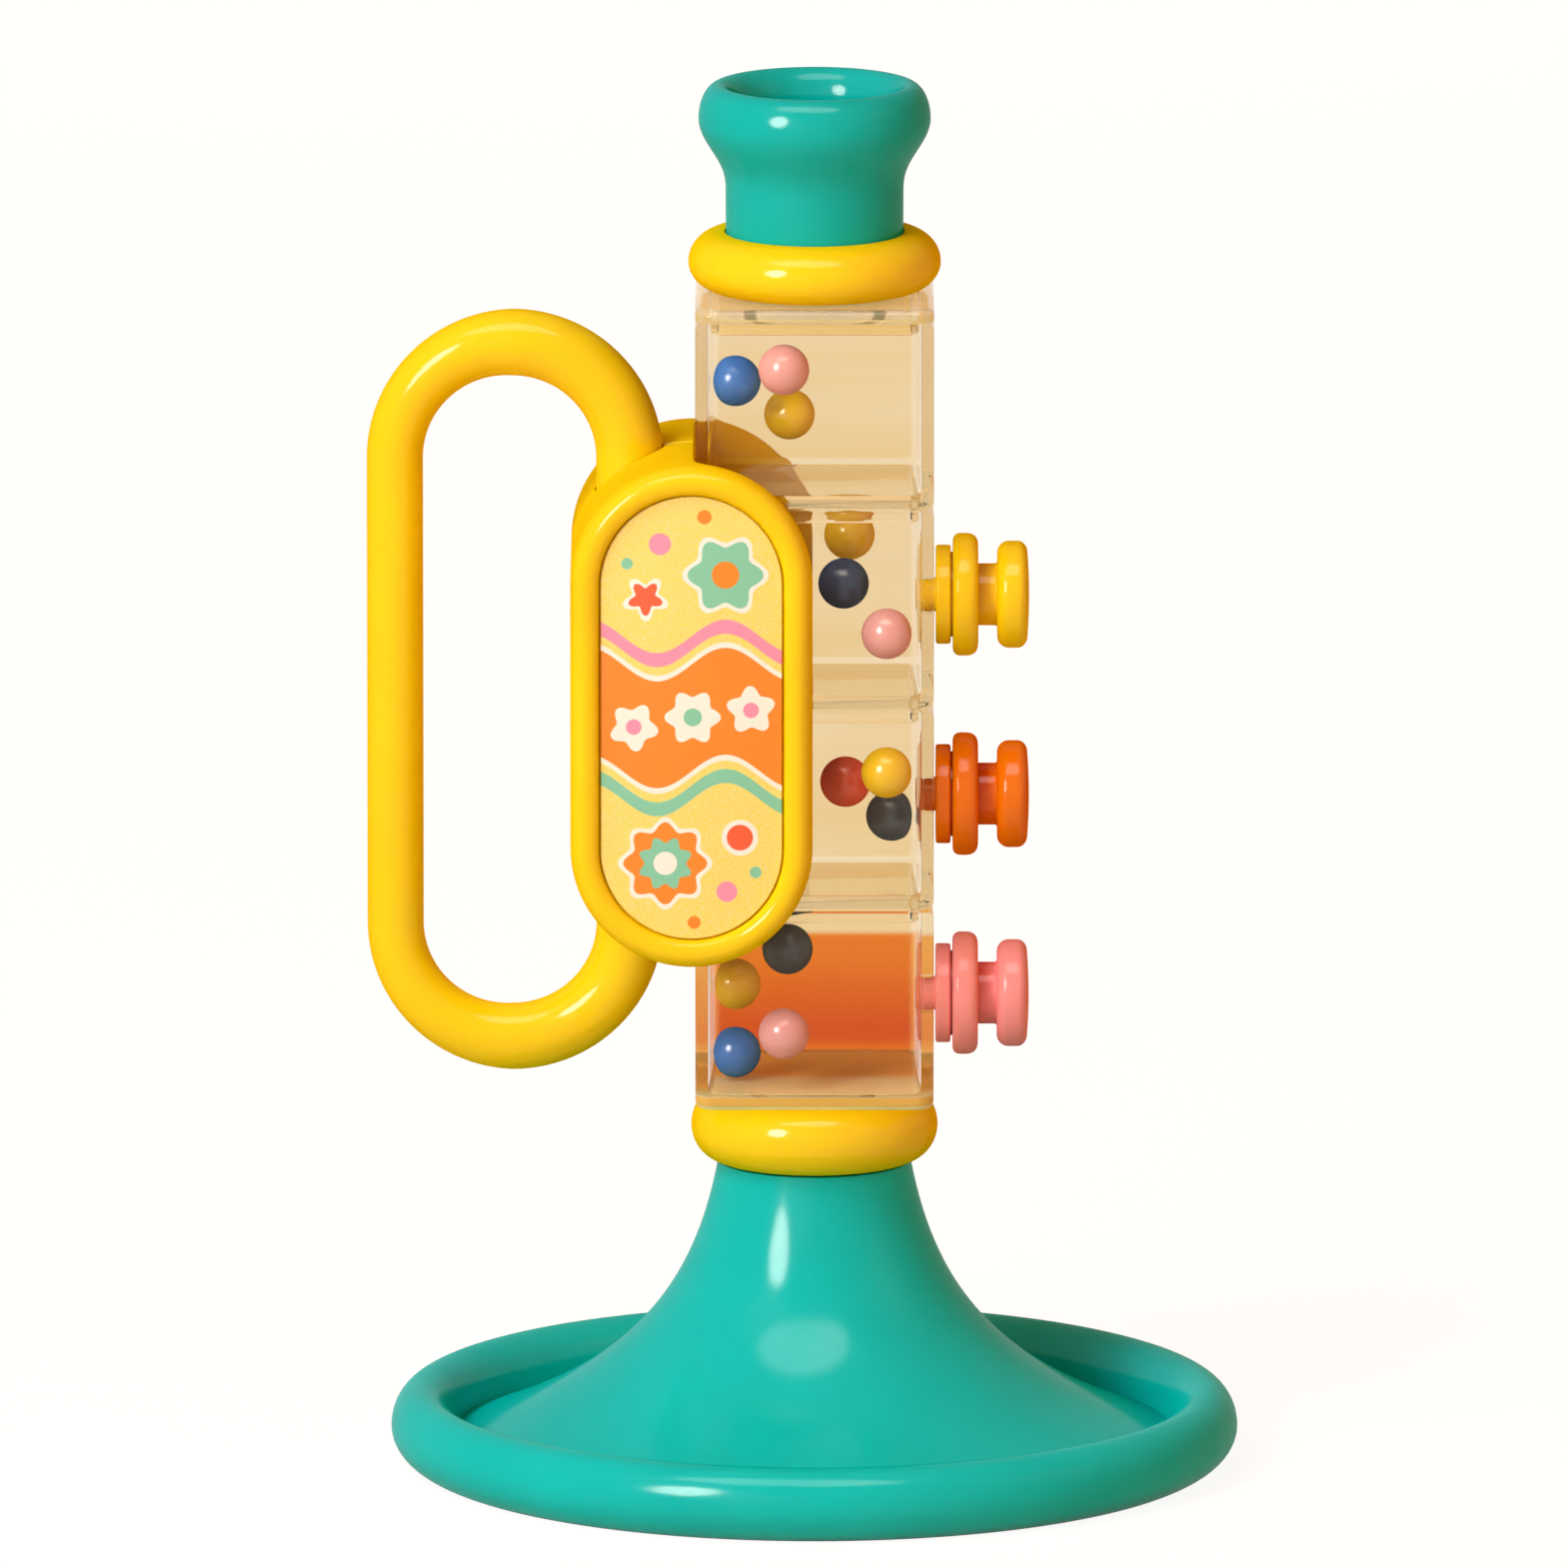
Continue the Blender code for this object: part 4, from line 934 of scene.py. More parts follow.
def bell_profile(shape):
    """Spigot, shoulder, flare, rolled rim with a flat foot, then back up the inside."""
    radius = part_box("bell")[1].x - AXIS_X
    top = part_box("lower_collar")[0].z - GAP
    flare_end = radius - shape.rim_width
    flare = (flare_end - shape.bell_neck) * math.exp(shape.bell_flare_end / shape.bell_fade)

    def outside(height):
        return shape.bell_neck + flare * math.exp(-height / shape.bell_fade)

    def inside(height):
        slope = -(outside(height) - shape.bell_neck) / shape.bell_fade
        tilt = math.hypot(1.0, slope)
        return outside(height) - shape.bell_wall / tilt, height + shape.bell_wall * slope / tilt

    tall = top - shape.bell_flare_end
    shares = [(i / FLARE_STEPS) ** FLARE_CROWD for i in range(FLARE_STEPS + 1)]
    heights = [shape.bell_flare_end + tall * share for share in shares]
    spigot_top = BODY_LOW_Z - 2 * GAP
    bore = shape.spigot_radius - shape.spigot_wall
    rim_z = shape.rim_half_height - shape.rim_flat
    foot = math.degrees(math.asin(rim_z / shape.rim_half_height))
    inner = [inside(height) for height in heights[:-1]]
    start = math.degrees(math.asin((inner[0][1] - rim_z) / shape.rim_half_height))
    middle, radii = (radius - shape.rim_width / 2, rim_z), (shape.rim_width / 2, shape.rim_half_height)
    under, under_radii = (radius - shape.rim_under, rim_z), (shape.rim_under, shape.rim_half_height)
    inner_soft, outer_soft = 0.4 * MM, 0.5 * MM
    profile = eased([(bore, spigot_top, inner_soft), (shape.spigot_radius, spigot_top, outer_soft)])
    profile += [(shape.spigot_radius, top)]
    profile += [(outside(height), height) for height in reversed(heights)]
    profile += arc(middle, radii, 180, 0, steps=30)[1:]
    profile += arc(under, under_radii, 0, -foot, steps=14)[1:]
    profile += arc(middle, radii, -180 + foot, -180 - start, steps=10)
    profile += inner
    profile += [(bore, top - shape.bell_wall)]
    return profile


class TRUMPET_OT_bell(bpy.types.Operator):
    """Turns the bell, with its rolled rim and flat foot"""

    bl_idname = "trumpet.bell"
    bl_label = "Bell"

    def execute(self, context):
        shape, paint = context.scene.trumpet_shape, context.scene.trumpet_paint
        finish = moulded("bell_teal", paint.teal, 0.3, coat=0.34, soft=0.14, low_gloss=0.6)
        piece = turned("bell_fine", bell_profile(shape), upright(0.0), finish=finish)
        dressed(piece, "trumpet", "bell_teal", "bell")
        return {"FINISHED"}


class TRUMPET_OT_collars(bpy.types.Operator):
    """Turns the two round collars at the ends of the clear body"""

    bl_idname = "trumpet.collars"
    bl_label = "Collars"

    def execute(self, context):
        shape, paint = context.scene.trumpet_shape, context.scene.trumpet_paint
        finish = moulded("collar_yellow", paint.yellow, 0.28, coat=0.38)
        bores = {"lower_collar": shape.spigot_radius + GAP, "upper_collar": shape.mouth_foot + GAP}
        for node, bore in bores.items():
            low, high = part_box(node)
            radius, half = high.x - AXIS_X, (high.z - low.z) / 2
            land, reach = bore + shape.collar_land, radius - bore - shape.collar_land
            sag = shape.collar_sag if node == "upper_collar" else 0.0
            profile = [(bore, -half), *arc((land, -sag), (reach, half - sag), -90, 0, steps=20)]
            profile += [*arc((land, -sag), (reach, half), 0, 90, steps=20)[1:], (bore, half - sag)]
            piece = turned(f"{node}_fine", profile, upright(low.z + half), finish=finish)
            dressed(piece, "trumpet", "collar_yellow", node)
        return {"FINISHED"}


# The rows of the mouthpiece's flare, and how late it widens
MOUTH_STEPS = 36
MOUTH_DELAY = 1.3


class TRUMPET_OT_mouthpiece(bpy.types.Operator):
    """Turns the mouthpiece and puts the whistle with its reed in its bore"""

    bl_idname = "trumpet.mouthpiece"
    bl_label = "Mouthpiece"

    def execute(self, context):
        shape, paint = context.scene.trumpet_shape, context.scene.trumpet_paint
        low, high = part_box("mouthpiece")
        height, lip = high.z - low.z, high.x - AXIS_X
        lip_z = height - shape.lip_drop
        flare_z = lip_z - shape.lip_flare
        profile = [(shape.mouth_bore, 0.0), (shape.mouth_foot, 0.0)]
        for i in range(MOUTH_STEPS):
            rise = ((1 - math.cos(math.pi * i / MOUTH_STEPS)) / 2) ** MOUTH_DELAY
            radius = shape.mouth_neck + (lip - shape.mouth_neck) * rise
            profile.append((radius, flare_z + shape.lip_flare * i / MOUTH_STEPS))
        middle, half = (lip + shape.mouth_hole) / 2, (lip - shape.mouth_hole) / 2
        profile += arc((middle, lip_z), (half, shape.lip_drop), 0, 180, steps=40)
        profile += [(shape.mouth_bore, flare_z)]
        finish = moulded("mouthpiece_teal", paint.mouth_teal, 0.26, coat=0.34, soft=0.12, low_gloss=0.55)
        piece = turned("mouthpiece_fine", profile, upright(low.z), finish=finish)
        dressed(piece, "trumpet", "mouthpiece_teal", "mouthpiece")
        self.whistle(shape, paint)
        return {"FINISHED"}

    def whistle(self, shape, paint):
        """A cup with a slot in its roof, and the thin reed over it."""
        low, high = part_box("whistle_body")
        tall, radius = high.z - low.z, shape.mouth_bore - GAP
        bore, roof, soft = radius - shape.whistle_wall, tall - shape.whistle_wall, 0.4 * MM
        corners = [(0.0, roof, 0.0), (bore, roof, soft), (bore, 0.0, soft / 2)]
        corners += [(radius, 0.0, soft / 2), (radius, tall, soft), (0.0, tall, 0.0)]
        cup = turned("whistle_cup", eased(corners), upright(low.z), SMALL_ROUND)
        reed_low, reed_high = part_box("whistle_reed")
        size = reed_high - reed_low
        bm = bmesh.new()
        bmesh.ops.create_cube(bm, size=1.0, matrix=Matrix.Diagonal((*size, 1.0)))
        bmesh.ops.bevel(bm, geom=bm.edges, offset=0.12 * MM, segments=2, affect="EDGES")
        bmesh.ops.translate(bm, verts=bm.verts, vec=(reed_low + reed_high) / 2)
        reed = mesh_piece("whistle_tongue", bm, steel("reed_steel", paint.steel, 0.28))
        dressed(reed, "trumpet", "reed_steel", "whistle_reed")
        lap = 2 * MM
        bm = bmesh.new()
        bmesh.ops.create_cube(bm, size=1.0, matrix=Matrix.Diagonal((size.x - lap, size.y - lap, tall, 1.0)))
        bmesh.ops.translate(bm, verts=bm.verts, vec=(AXIS_X, 0.0, high.z))
        slot = mesh_piece("whistle_slot", bm)
        carved(cup, [("DIFFERENCE", slot)], moulded("whistle_white", paint.white, 0.38, coat=0.2))
        dressed(cup, "trumpet", "whistle_white", "whistle_body")


class TRUMPET_OT_body(bpy.types.Operator):
    """Makes the four clear chambers that plug into each other, and their lid"""

    bl_idname = "trumpet.body"
    bl_label = "Clear body"

    def execute(self, context):
        shape, paint = context.scene.trumpet_shape, context.scene.trumpet_paint
        beige = clear_plastic("clear_beige", flowed(paint.beige))
        # Painted shade: the floor's upright faces take a darker side colour than its level faces
        floor_haze = {
            "height": BODY_LOW_Z + shape.body_wall,
            "front": paint.floor_front,
            "rear": paint.floor_rear,
            "side": paint.floor_shaded_side,
            "through": 0.12,
            "sheen": 0.15,
        }
        tint = shaded(paint.amber, paint.amber_light, paint.beige, BODY_LOW_Z)
        amber = clear_plastic("clear_orange", tint, floor_haze, warmth=12.0)
        for number in range(1, CHAMBER_COUNT + 1):
            lowest = number == CHAMBER_COUNT
            finish = amber if lowest else beige
            piece = self.chamber(shape, number, lowest, finish)
            slot = "clear_orange" if lowest else "clear_beige"
            dressed(piece, "trumpet", slot, f"chamber_{number}")
        # Painted shade: the lid's upright faces take a darker colour, standing in for the collar's shadow on
        # its front
        lid_haze = {
            "height": BODY_HIGH_Z + shape.upper_boss,
            "front": paint.lid_top,
            "rear": paint.lid_top,
            "side": paint.lid_side,
            "through": 0.8,
            "sheen": 0.3,
        }
        cloudy = clear_plastic("clear_lid", flowed(paint.beige), lid_haze, warmth=6.0)
        dressed(self.lid(shape, cloudy), "trumpet", "clear_beige", "top_lid")
        return {"FINISHED"}

    def outer(self, shape, half, height):
        return square_ring(half, shape.body_corner - (BODY_HALF - half), height)

    def inner(self, shape, half, height):
        """A ring at or inside the cavity's wall, with a corner that shrinks with the distance from it."""
        cavity = BODY_HALF - shape.body_wall
        return square_ring(half, shape.cavity_corner - (cavity - half), height)

    def plug(self, shape, bottom):
        """The square plug under a floor, from its hollow round to its outer side."""
        wide = BODY_HALF - shape.body_wall - GAP
        narrow = wide - shape.plug_wall
        soft = 0.3 * MM
        tip = bottom - shape.plug_depth
        heights = [(narrow, bottom), (narrow, tip + soft), (narrow + soft, tip)]
        heights += [(wide - soft, tip), (wide, tip + soft), (wide, bottom)]
        return [self.inner(shape, half, height) for half, height in heights]

    def edge(self, shape, height, start, end):
        """The rounded edge between a side and a top or bottom."""
        radii = (shape.body_edge, shape.body_edge)
        points = arc((BODY_HALF - shape.body_edge, height), radii, start, end, steps=7)
        return [self.outer(shape, half, z) for half, z in points]

    def tube(self, name, shape, radius, start, end):
        """A round boss, from one height to another."""
        bore = radius - shape.boss_wall
        soft = 0.3 * MM
        corners = [(bore, start, soft), (radius, start, soft), (radius, end, soft), (bore, end, soft)]
        return turned(name, eased(corners), upright(0.0), SMALL_ROUND)

    def chamber(self, shape, number, lowest, finish):
        """A square cup with rounded edges, its plug below, and a boss or a hole for a key's peg."""
        bottom = BODY_LOW_Z + (CHAMBER_COUNT - number) * PITCH
        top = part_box(f"chamber_{number}")[1].z
        floor = bottom + shape.body_wall
        cavity = BODY_HALF - shape.body_wall
        fillet = shape.cavity_fillet
        rings = [] if lowest else self.plug(shape, bottom)
        rings += self.edge(shape, bottom + shape.body_edge, -90, 0)
        rings += self.edge(shape, top - shape.body_edge, 0, 90)
        rings += [self.inner(shape, cavity, top), self.inner(shape, cavity, floor + fillet)]
        curve = arc((cavity - fillet, floor + fillet), (fillet, fillet), 0, -90, steps=5)[1:]
        rings += [self.inner(shape, half, z) for half, z in curve]
        cup = lofted(f"clear_chamber_{number}", rings)
        steps = []
        if lowest:
            radius = shape.spigot_radius - shape.spigot_wall - GAP
            start, end = bottom - shape.lower_boss, bottom + shape.body_wall / 2
            steps.append(("UNION", self.tube("boss_below", shape, radius, start, end)))
        if number > CHAMBER_COUNT - KEY_COUNT:
            matrix = key_matrix(number - CHAMBER_COUNT + KEY_COUNT)
            over = 2 * MM
            hole = rod("peg_hole", matrix, shape.peg_radius + GAP, -shape.body_wall - over, over)
            steps.append(("DIFFERENCE", hole))
        return carved(cup, steps, finish) if steps else smoothed(cup, finish)

    def lid(self, shape, finish):
        """A flat lid with a plug below and a boss above."""
        low = BODY_HIGH_Z - shape.body_wall
        rings = self.plug(shape, low) + [self.outer(shape, BODY_HALF, low)]
        rings += self.edge(shape, BODY_HIGH_Z - shape.body_edge, 0, 90)
        plate = lofted("clear_lid", rings)
        start, end = low + shape.body_wall / 2, BODY_HIGH_Z + shape.upper_boss
        boss = self.tube("boss_above", shape, shape.mouth_bore - GAP, start, end)
        return carved(plate, [("UNION", boss)], finish)


class TRUMPET_OT_handle(bpy.types.Operator):
    """Grows the loop handle along its path"""

    bl_idname = "trumpet.handle"
    bl_label = "Handle"

    def execute(self, context):
        shape, paint = context.scene.trumpet_shape, context.scene.trumpet_paint
        low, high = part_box("handle")
        middle = (low.x + shape.handle_tube + shape.handle_bend, 0.0, (low.z + high.z) / 2)
        values = {
            "Bend Radius": shape.handle_bend,
            "Half Height": (high.z - low.z) / 2 - shape.handle_root,
            "Free Radius": shape.handle_tube,
            "Held Radius": shape.handle_root,
            "Middle": middle,
            "Material": moulded("handle_yellow", paint.yellow, 0.27),
        }
        piece = grown("handle_loop", loop_tree(), values)
        dressed(piece, "trumpet", "handle_yellow", "handle")
        return {"FINISHED"}


class TRUMPET_OT_case(bpy.types.Operator):
    """Makes the two case halves, cut to clear the body, the handle and the screws"""

    bl_idname = "trumpet.case"
    bl_label = "Case"

    def execute(self, context):
        shape, paint = context.scene.trumpet_shape, context.scene.trumpet_paint
        finish = moulded("case_yellow", paint.yellow, 0.3)
        low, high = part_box("case_front")
        middle = Vector(((low.x + high.x) / 2, 0.0, (low.z + high.z) / 2))
        half_width, half_height, depth = (high.x - low.x) / 2, (high.z - low.z) / 2, -low.y
        limb_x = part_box("handle")[1].x - shape.handle_root
        screws = [sum(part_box(f"case_screw_{i}"), Vector()) / 2 for i in range(1, shape.screw_count + 1)]
        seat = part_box("case_screw_1")[1].y - shape.screw_head_height - GAP
        across = Matrix.Rotation(-QUARTER_TURN, 4, "X")
        # How far the cuts reach past the halves and into each other
        far, past = 4 * MM, MM
        reach = half_height + far
        for node, face in (("case_front", -1), ("case_rear", 1)):
            rings = []
            for inset, y in self.outline(shape, depth):
                rings.append(stadium_ring(middle, half_width - inset, half_height - inset, face * y))
            shell = lofted(f"{node}_shell", rings)
            corner = shape.body_corner + GAP
            block = [square_ring(BODY_HALF + GAP, corner, middle.z + end) for end in (-reach, reach)]
            steps = [("DIFFERENCE", lofted("body_room", block))]
            limb = rod("limb_room", upright(middle.z, limb_x), shape.handle_root + GAP, -reach, reach)
            steps.append(("DIFFERENCE", limb))
            for place in screws:
                matrix = Matrix.Translation((place.x, 0.0, place.z)) @ across
                tip = seat - shape.screw_length - GAP
                ends = (tip, far) if face < 0 else (-far, seat + past)
                shank = rod("shank_room", matrix, shape.screw_shank + GAP, *ends, SHANK_ROUND)
                steps.append(("DIFFERENCE", shank))
                if face > 0:
                    head = rod("head_room", matrix, shape.screw_head + GAP, seat, depth + past, HEAD_ROUND)
                    steps.append(("DIFFERENCE", head))
            dressed(carved(shell, steps, finish), "trumpet", "case_yellow", node)
        return {"FINISHED"}

    def outline(self, shape, depth):
        """One half from its seam out over the raised rim into the recess, as (inset, depth) points."""
        straight = depth - shape.case_edge
        chamfer = shape.case_seam
        points = [(chamfer, GAP / 2), (0.0, GAP / 2 + chamfer)]
        points += arc((shape.case_crest, straight), (-shape.case_crest, shape.case_edge), 0, 90, steps=16)
        half = shape.case_rim - shape.case_crest
        drop = (shape.case_crest, depth - shape.case_rim_drop)
        points += arc(drop, (half, shape.case_rim_drop), 90, 0, steps=12)[1:]
        soft = 0.25 * MM
        floor = depth - shape.case_recess
        points += arc((shape.case_rim + soft, floor + soft), (soft, soft), 180, 270, steps=4)
        return points


class TRUMPET_OT_label(bpy.types.Operator):
    """Lays the printed label in the recess of the front half"""

    bl_idname = "trumpet.label"
    bl_label = "Label"

    def execute(self, context):
        paint = context.scene.trumpet_paint
        low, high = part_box("label")
        middle = (low + high) / 2
        half_width, half_height = (high.x - low.x) / 2, (high.z - low.z) / 2
        soft = 0.2 * MM
        points = [(0.0, high.y), (0.0, low.y + soft)]
        points += arc((soft, low.y + soft), (-soft, -soft), 0, 90, steps=5)[1:]
        rings = [stadium_ring(middle, half_width - inset, half_height - inset, y) for inset, y in points]
        piece = lofted("label_plate", rings, printed("label_cream", paint, middle))
        dressed(piece, "trumpet", "label_cream", "label")
        return {"FINISHED"}


class TRUMPET_OT_screws(bpy.types.Operator):
    """Grows the row of screws in the rear half"""

    bl_idname = "trumpet.screws"
    bl_label = "Screws"

    def execute(self, context):
        shape, paint = context.scene.trumpet_shape, context.scene.trumpet_paint
        number = shape.screw_count
        low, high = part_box("case_screw_1")
        place = (low + high) / 2
        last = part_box(f"case_screw_{number}")[0].z
        values = {
            "Count": number,
            "Pitch": (last - low.z) / (number - 1),
            "Head Radius": shape.screw_head,
            "Head Height": shape.screw_head_height,
            "Shank Radius": shape.screw_shank,
            "Shank Length": shape.screw_length,
            "Tip Length": shape.screw_tip,
            "Slot Width": shape.screw_slot,
            "First": (place.x, high.y - shape.screw_head_height, place.z),
            "Material": steel("screw_steel", paint.steel, 0.34),
        }
        piece = grown("case_screws", screw_tree(), values)
        dressed(piece, "trumpet", "screw_steel", *[f"case_screw_{i}" for i in range(1, number + 1)])
        return {"FINISHED"}


def key_matrix(number):
    """The matrix of a key on the body's side, whose Z axis points outwards."""
    low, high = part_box(f"key_{number}_flange")
    side = Matrix.Translation((AXIS_X + BODY_HALF, 0.0, (low.z + high.z) / 2))
    return side @ Matrix.Rotation(QUARTER_TURN, 4, "Y")


def flange_z(shape):
    """Height of a flange's foot over the body's side."""
    return GAP + shape.stub_height


def cap_z(shape):
    """Height of a cap's underside over the body's side."""
    return flange_z(shape) + shape.flange_height + shape.cap_gap + shape.key_travel


class TRUMPET_OT_keys(bpy.types.Operator):
    """Turns the stub, flange and plunger of the three push keys"""

    bl_idname = "trumpet.keys"
    bl_label = "Keys"

    def execute(self, context):
        shape, paint = context.scene.trumpet_shape, context.scene.trumpet_paint
        profiles = {"stub": self.stub(shape), "flange": self.flange(shape), "plunger": self.plunger(shape)}
        for number, tint in enumerate(("yellow", "orange", "pink"), 1):
            finish = moulded(f"key_{tint}", getattr(paint, tint), 0.28, coat=0.38)
            for part, profile in profiles.items():
                node = f"key_{number}_{part}"
                piece = turned(f"{node}_fine", profile, key_matrix(number), SMALL_ROUND, finish)
                body = f"key_{number}" if part == "plunger" else "trumpet"
                dressed(piece, body, f"key_{tint}", node)
        return {"FINISHED"}

    def stub(self, shape):
        """A peg into the wall, a round base and a thin socket wall that carries the flange."""
        socket = shape.plunger_stop + GAP
        spigot = socket + shape.key_wall
        lap = 1.5 * MM
        top = flange_z(shape) + lap
        soft = 0.15 * MM
        return eased(
            [
                (0.0, -shape.body_wall, 0.0),
                (shape.peg_radius, -shape.body_wall, soft * 2),
                (shape.peg_radius, GAP, 0.0),
                (shape.stub_radius, GAP, soft * 3),
                (shape.stub_radius, shape.stub_height, soft * 3),
                (spigot, shape.stub_height, 0.0),
                (spigot, top, soft),
                (socket, top, soft),
                (socket, GAP + shape.key_base, soft * 2),
                (0.0, GAP + shape.key_base, 0.0),
            ]
        )

    def flange(self, shape):
        """A ring with round edges, whose inner lip holds the plunger in."""
        base = flange_z(shape)
        top = base + shape.flange_height
        socket = shape.plunger_stop + GAP + shape.key_wall + GAP
        lip = shape.plunger_radius + GAP
        soft = 0.3 * MM
        edge = 1.9 * MM
        return eased(
            [
                (socket, base, soft),
                (shape.flange_radius, base, edge),
                (shape.flange_radius, top, edge),
                (lip, top, soft * 2),
                (lip, top - shape.flange_lip, 0.0),
                (socket, top - shape.flange_lip, 0.0),
            ],
            steps=9,
        )

    def plunger(self, shape):
        """Stop collar, hollow neck and a round cap with a slight crown."""
        stop_top = flange_z(shape) + shape.flange_height - shape.flange_lip - GAP
        stop = stop_top - shape.plunger_stop_height
        base = cap_z(shape)
        top = base + shape.cap_height
        roof = top - shape.cap_roof
        radius, edge = shape.cap_radius, shape.cap_edge
        soft = 0.2 * MM
        inner = [
            (0.0, roof, 0.0),
            (shape.plunger_bore, roof, soft),
            (shape.plunger_bore, stop, soft),
            (shape.plunger_stop, stop, soft),
            (shape.plunger_stop, stop_top, soft),
            (shape.plunger_radius, stop_top, 0.0),
            (shape.plunger_radius, base, 2 * soft),
            (radius, base, 0.0),
        ]
        profile = eased(inner)[:-1]
        profile += arc((radius - edge, base + edge), (edge, edge), -90, 0, steps=12)
        crown = 0.25 * MM
        profile += arc((radius - edge, top - edge), (edge, edge - crown), 0, 90, steps=12)
        rows = 8
        for i in range(1, rows + 1):
            share = 1 - i / rows
            profile.append(((radius - edge) * share, top - crown * share**2))
        return profile


class TRUMPET_OT_springs(bpy.types.Operator):
    """Grows the return spring inside each key"""

    bl_idname = "trumpet.springs"
    bl_label = "Springs"

    def execute(self, context):
        shape, paint = context.scene.trumpet_shape, context.scene.trumpet_paint
        tree = spring_tree()
        finish = steel("spring_steel", paint.steel, 0.26)
        wire = shape.spring_wire
        for number in range(1, KEY_COUNT + 1):
            node = f"key_{number}_spring"
            low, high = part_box(node)
            middle = sum(corner.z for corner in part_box(f"key_{number}_flange")) / 2
            values = {
                "Turns": float(shape.spring_turns),
                "Radius": shape.spring_radius,
                "Wire Radius": wire,
                "Length": high.x - low.x - 2 * wire,
                "Start": (low.x + wire, 0.0, middle),
                "Material": finish,
            }
            piece = grown(f"key_{number}_coil", tree, values)
            dressed(piece, "trumpet", "spring_steel", node)
            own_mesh(piece)
        return {"FINISHED"}


class TRUMPET_OT_beads(bpy.types.Operator):
    """Grows the loose beads in the chambers"""

    bl_idname = "trumpet.beads"
    bl_label = "Beads"

    def execute(self, context):
        shape, paint = context.scene.trumpet_shape, context.scene.trumpet_paint
        tree = bead_tree()
        finishes = {}
        nodes = sorted(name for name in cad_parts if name.startswith("bead_"))
        for seed, node in enumerate(nodes):
            tint = "bead_" + node.split("_")[-1]
            if tint not in finishes:
                finishes[tint] = moulded(tint, getattr(paint, tint), 0.22, coat=1.0, soft=0.2)
            low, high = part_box(node)
            values = {
                "Radius": (high.z - low.z) / 2,
                "Seam": shape.bead_seam,
                "Centre": (low + high) / 2,
                "Seed": seed,
                "Material": finishes[tint],
            }
            dressed(grown(f"{node}_ball", tree, values), node, tint, node)
        return {"FINISHED"}


# Stage: the camera looks down a little from far in front
CAMERA_TILT = math.radians(11.1)
CAMERA_AIM = (-2.92 * MM, 0.0, 105.55 * MM)
CAMERA_DISTANCE = 6.0
CAMERA_SENSOR = 36.0
CAMERA_REACH = 100.0
PHOTO_WIDTH = 240.2 * MM
WHITE = (1.0, 1.0, 1.0)

# The floor: how far it lies under the bell, its two tones, and how bright it glows and with which share
FLOOR_RADIUS = 4.0
FLOOR_DROP = 0.05 * MM
FLOOR_TONES = ((0.72, 0.61, 0.48, 1.0), (0.76, 0.65, 0.52, 1.0))
FLOOR_GLOW = 1.2
FLOOR_GLOW_SHARE = 0.76

# The room's glow where it isn't seen
ROOM_TONE = (1.0, 0.48, 0.18, 1.0)
ROOM_GLOW = 0.28

# Lamps: name, width, height, distance, azimuth, elevation, strength, colour, and whether they make the gloss
# or the light
LAMPS = (
    ("softbox", 0.40, 0.56, 1.3, -37, 24, 31.0, WHITE, "gloss"),
    ("top_glow", 1.3, 0.7, 1.5, -12, 66, 6.0, WHITE, "gloss"),
    ("front", 0.4, 0.5, 1.3, -37, 26, 9.7, WHITE, "light"),
    ("key", 1.1, 0.9, 2.0, -50, 50, 7.0, WHITE, "light"),
    ("front_fill", 1.6, 0.9, 2.0, -24, 15, 3.05, (1.0, 0.95, 0.85), "light"),
    ("side_fill", 1.1, 0.9, 2.0, 76, 30, 3.4, (1.0, 0.5, 0.14), "light"),
    ("rear_fill", 1.1, 0.9, 2.0, 180, 8, 4.0, (1.0, 0.86, 0.7), "light"),
)


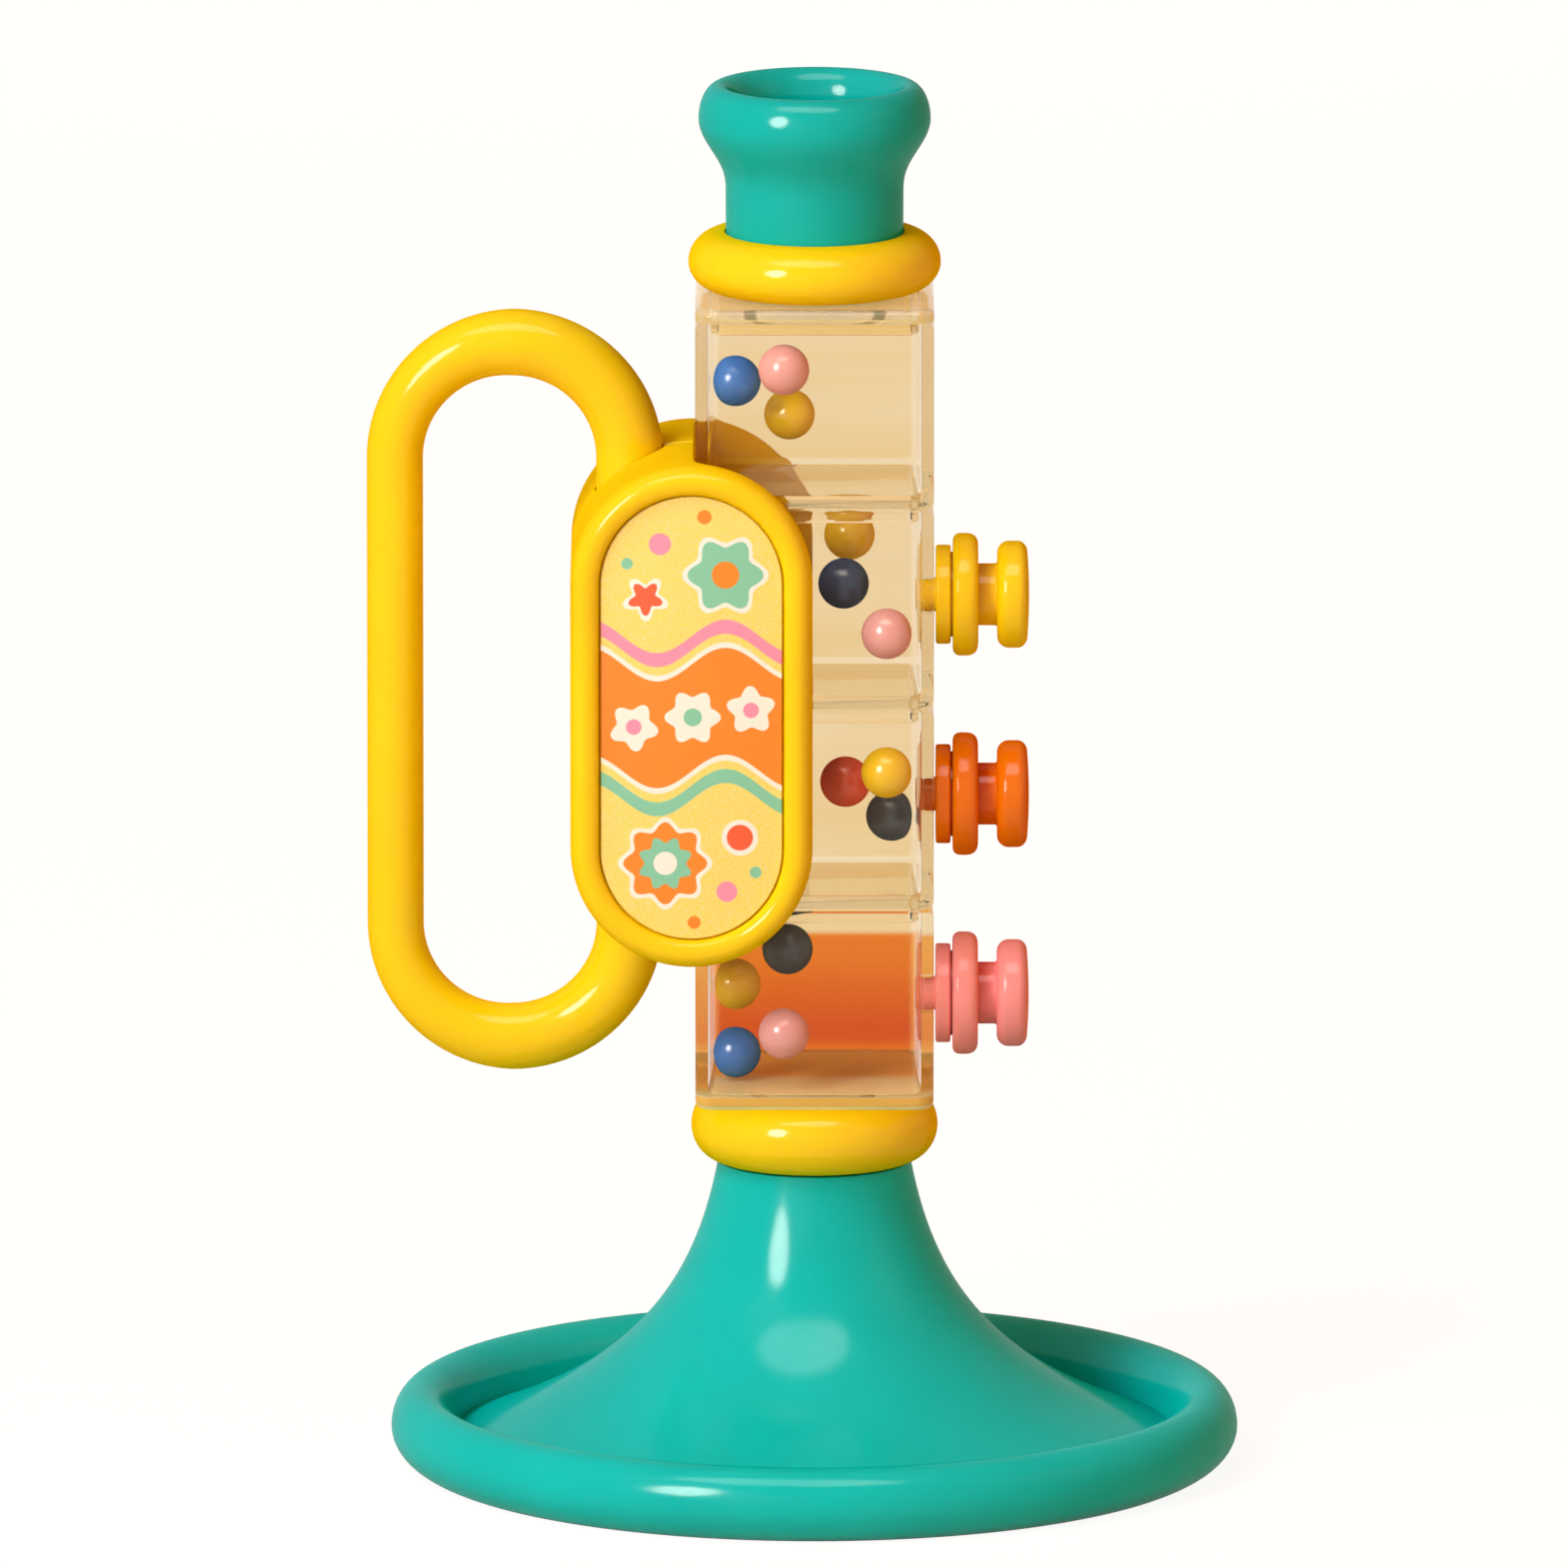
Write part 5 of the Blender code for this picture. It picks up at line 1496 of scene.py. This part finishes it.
class TRUMPET_OT_stage(bpy.types.Operator):
    """Sets up the floor, the soft lamps, the surroundings and the camera"""

    bl_idname = "trumpet.stage"
    bl_label = "Stage"

    def execute(self, context):
        scene = context.scene
        self.floor()
        self.surroundings(scene)
        for lamp in LAMPS:
            self.lamp(scene, *lamp)
        self.camera(scene)
        scene.view_settings.view_transform = "Standard"
        return {"FINISHED"}

    def seen(self, graph):
        """1 for rays that come from the camera, a reflection or clear plastic."""
        path = graph.add("ShaderNodeLightPath").outputs
        bent = graph.math("MAXIMUM", path["Is Glossy Ray"], path["Is Transmission Ray"])
        return graph.math("MAXIMUM", path["Is Camera Ray"], bent)

    def floor(self):
        """A wide pale disc that glows a little where it is seen, and keeps the trumpet's shadow."""
        bm = bmesh.new()
        bmesh.ops.create_circle(bm, cap_ends=True, segments=ROUND, radius=FLOOR_RADIUS)
        bmesh.ops.translate(bm, verts=bm.verts, vec=(0.0, 0.0, -FLOOR_DROP))
        made, graph, shader, output = blank_material("floor_white")
        tone = graph.mix(graph.noise(graph.object_place(), 3.0), *FLOOR_TONES)
        graph.feed(shader.inputs["Base Color"], tone)
        shader.inputs["Roughness"].default_value = 0.9
        shader.inputs["Specular IOR Level"].default_value = 0.0
        glow = graph.add("ShaderNodeEmission", Color=rgba(WHITE), Strength=FLOOR_GLOW).outputs["Emission"]
        share = graph.times(self.seen(graph), FLOOR_GLOW_SHARE)
        graph.blend(output, share, shader.outputs["BSDF"], glow)
        mesh_piece("floor", bm, made)

    def surroundings(self, scene):
        """White where they are seen, and a soft warm glow for the rest."""
        world = bpy.data.worlds.new("pale_room")
        world.use_nodes = True
        scene.world = world
        graph = Graph(world.node_tree)
        nodes = world.node_tree.nodes
        white = nodes["Background"]
        white.inputs["Color"].default_value = rgba(WHITE)
        warm = graph.add("ShaderNodeBackground", Color=ROOM_TONE, Strength=ROOM_GLOW)
        surface = nodes["World Output"].inputs["Surface"]
        graph.blend(surface, self.seen(graph), warm.outputs["Background"], white.outputs["Background"])

    def lamp(self, scene, name, width, height, distance, azimuth, elevation, strength, rgb, role):
        """A soft area lamp that faces the trumpet's middle. Its strength is how bright its face is."""
        data = bpy.data.lights.new(name, "AREA")
        data.shape = "ELLIPSE"
        data.size, data.size_y = width, height
        data.energy = strength * width * height * math.pi * math.pi / 4
        data.color = rgb
        lamp = bpy.data.objects.new(name, data)
        scene.collection.objects.link(lamp)
        turn, rise = math.radians(azimuth), math.radians(elevation)
        way = Vector((math.sin(turn) * math.cos(rise), -math.cos(turn) * math.cos(rise), math.sin(rise)))
        lamp.location = Vector(CAMERA_AIM) + way * distance
        lamp.rotation_euler = (-way).to_track_quat("-Z", "Y").to_euler()
        lamp.visible_glossy = role == "gloss"
        lamp.visible_transmission = role == "gloss"
        lamp.visible_diffuse = role == "light"

    def camera(self, scene):
        """A long lens from far away, at the height and angle of the photograph."""
        data = bpy.data.cameras.new("camera")
        data.sensor_width = CAMERA_SENSOR
        data.lens = CAMERA_SENSOR * CAMERA_DISTANCE / PHOTO_WIDTH
        data.clip_end = CAMERA_REACH
        camera = bpy.data.objects.new("camera", data)
        scene.collection.objects.link(camera)
        forward = Vector((0.0, math.cos(CAMERA_TILT), -math.sin(CAMERA_TILT)))
        camera.location = Vector(CAMERA_AIM) - forward * CAMERA_DISTANCE
        camera.rotation_euler = forward.to_track_quat("-Z", "Y").to_euler()
        scene.camera = camera


STEPS = (
    TRUMPET_OT_bell,
    TRUMPET_OT_collars,
    TRUMPET_OT_mouthpiece,
    TRUMPET_OT_body,
    TRUMPET_OT_handle,
    TRUMPET_OT_case,
    TRUMPET_OT_label,
    TRUMPET_OT_screws,
    TRUMPET_OT_keys,
    TRUMPET_OT_springs,
    TRUMPET_OT_beads,
    TRUMPET_OT_stage,
)


class TRUMPET_PT_panel(bpy.types.Panel):
    """Lists the trumpet's steps, sizes and colours"""

    bl_idname = "TRUMPET_PT_panel"
    bl_label = "Toy Trumpet"
    bl_space_type = "VIEW_3D"
    bl_region_type = "UI"
    bl_category = "Trumpet"

    def draw(self, context):
        layout = self.layout
        for step in STEPS:
            layout.operator(step.bl_idname)
        for group in (context.scene.trumpet_shape, context.scene.trumpet_paint):
            box = layout.box()
            for name in group.__annotations__:
                box.prop(group, name)


CLASSES = (TrumpetShape, TrumpetPaint, *STEPS, TRUMPET_PT_panel)


def register():
    for made in CLASSES:
        bpy.utils.register_class(made)
    bpy.types.Scene.trumpet_shape = bpy.props.PointerProperty(type=TrumpetShape)
    bpy.types.Scene.trumpet_paint = bpy.props.PointerProperty(type=TrumpetPaint)


def unregister():
    del bpy.types.Scene.trumpet_paint
    del bpy.types.Scene.trumpet_shape
    for made in reversed(CLASSES):
        bpy.utils.unregister_class(made)


def main():
    register()
    bpy.ops.trumpet.bell()
    bpy.ops.trumpet.collars()
    bpy.ops.trumpet.mouthpiece()
    bpy.ops.trumpet.body()
    bpy.ops.trumpet.handle()
    bpy.ops.trumpet.case()
    bpy.ops.trumpet.label()
    bpy.ops.trumpet.screws()
    bpy.ops.trumpet.keys()
    bpy.ops.trumpet.springs()
    bpy.ops.trumpet.beads()
    bpy.ops.trumpet.stage()


if __name__ == "__main__":
    main()
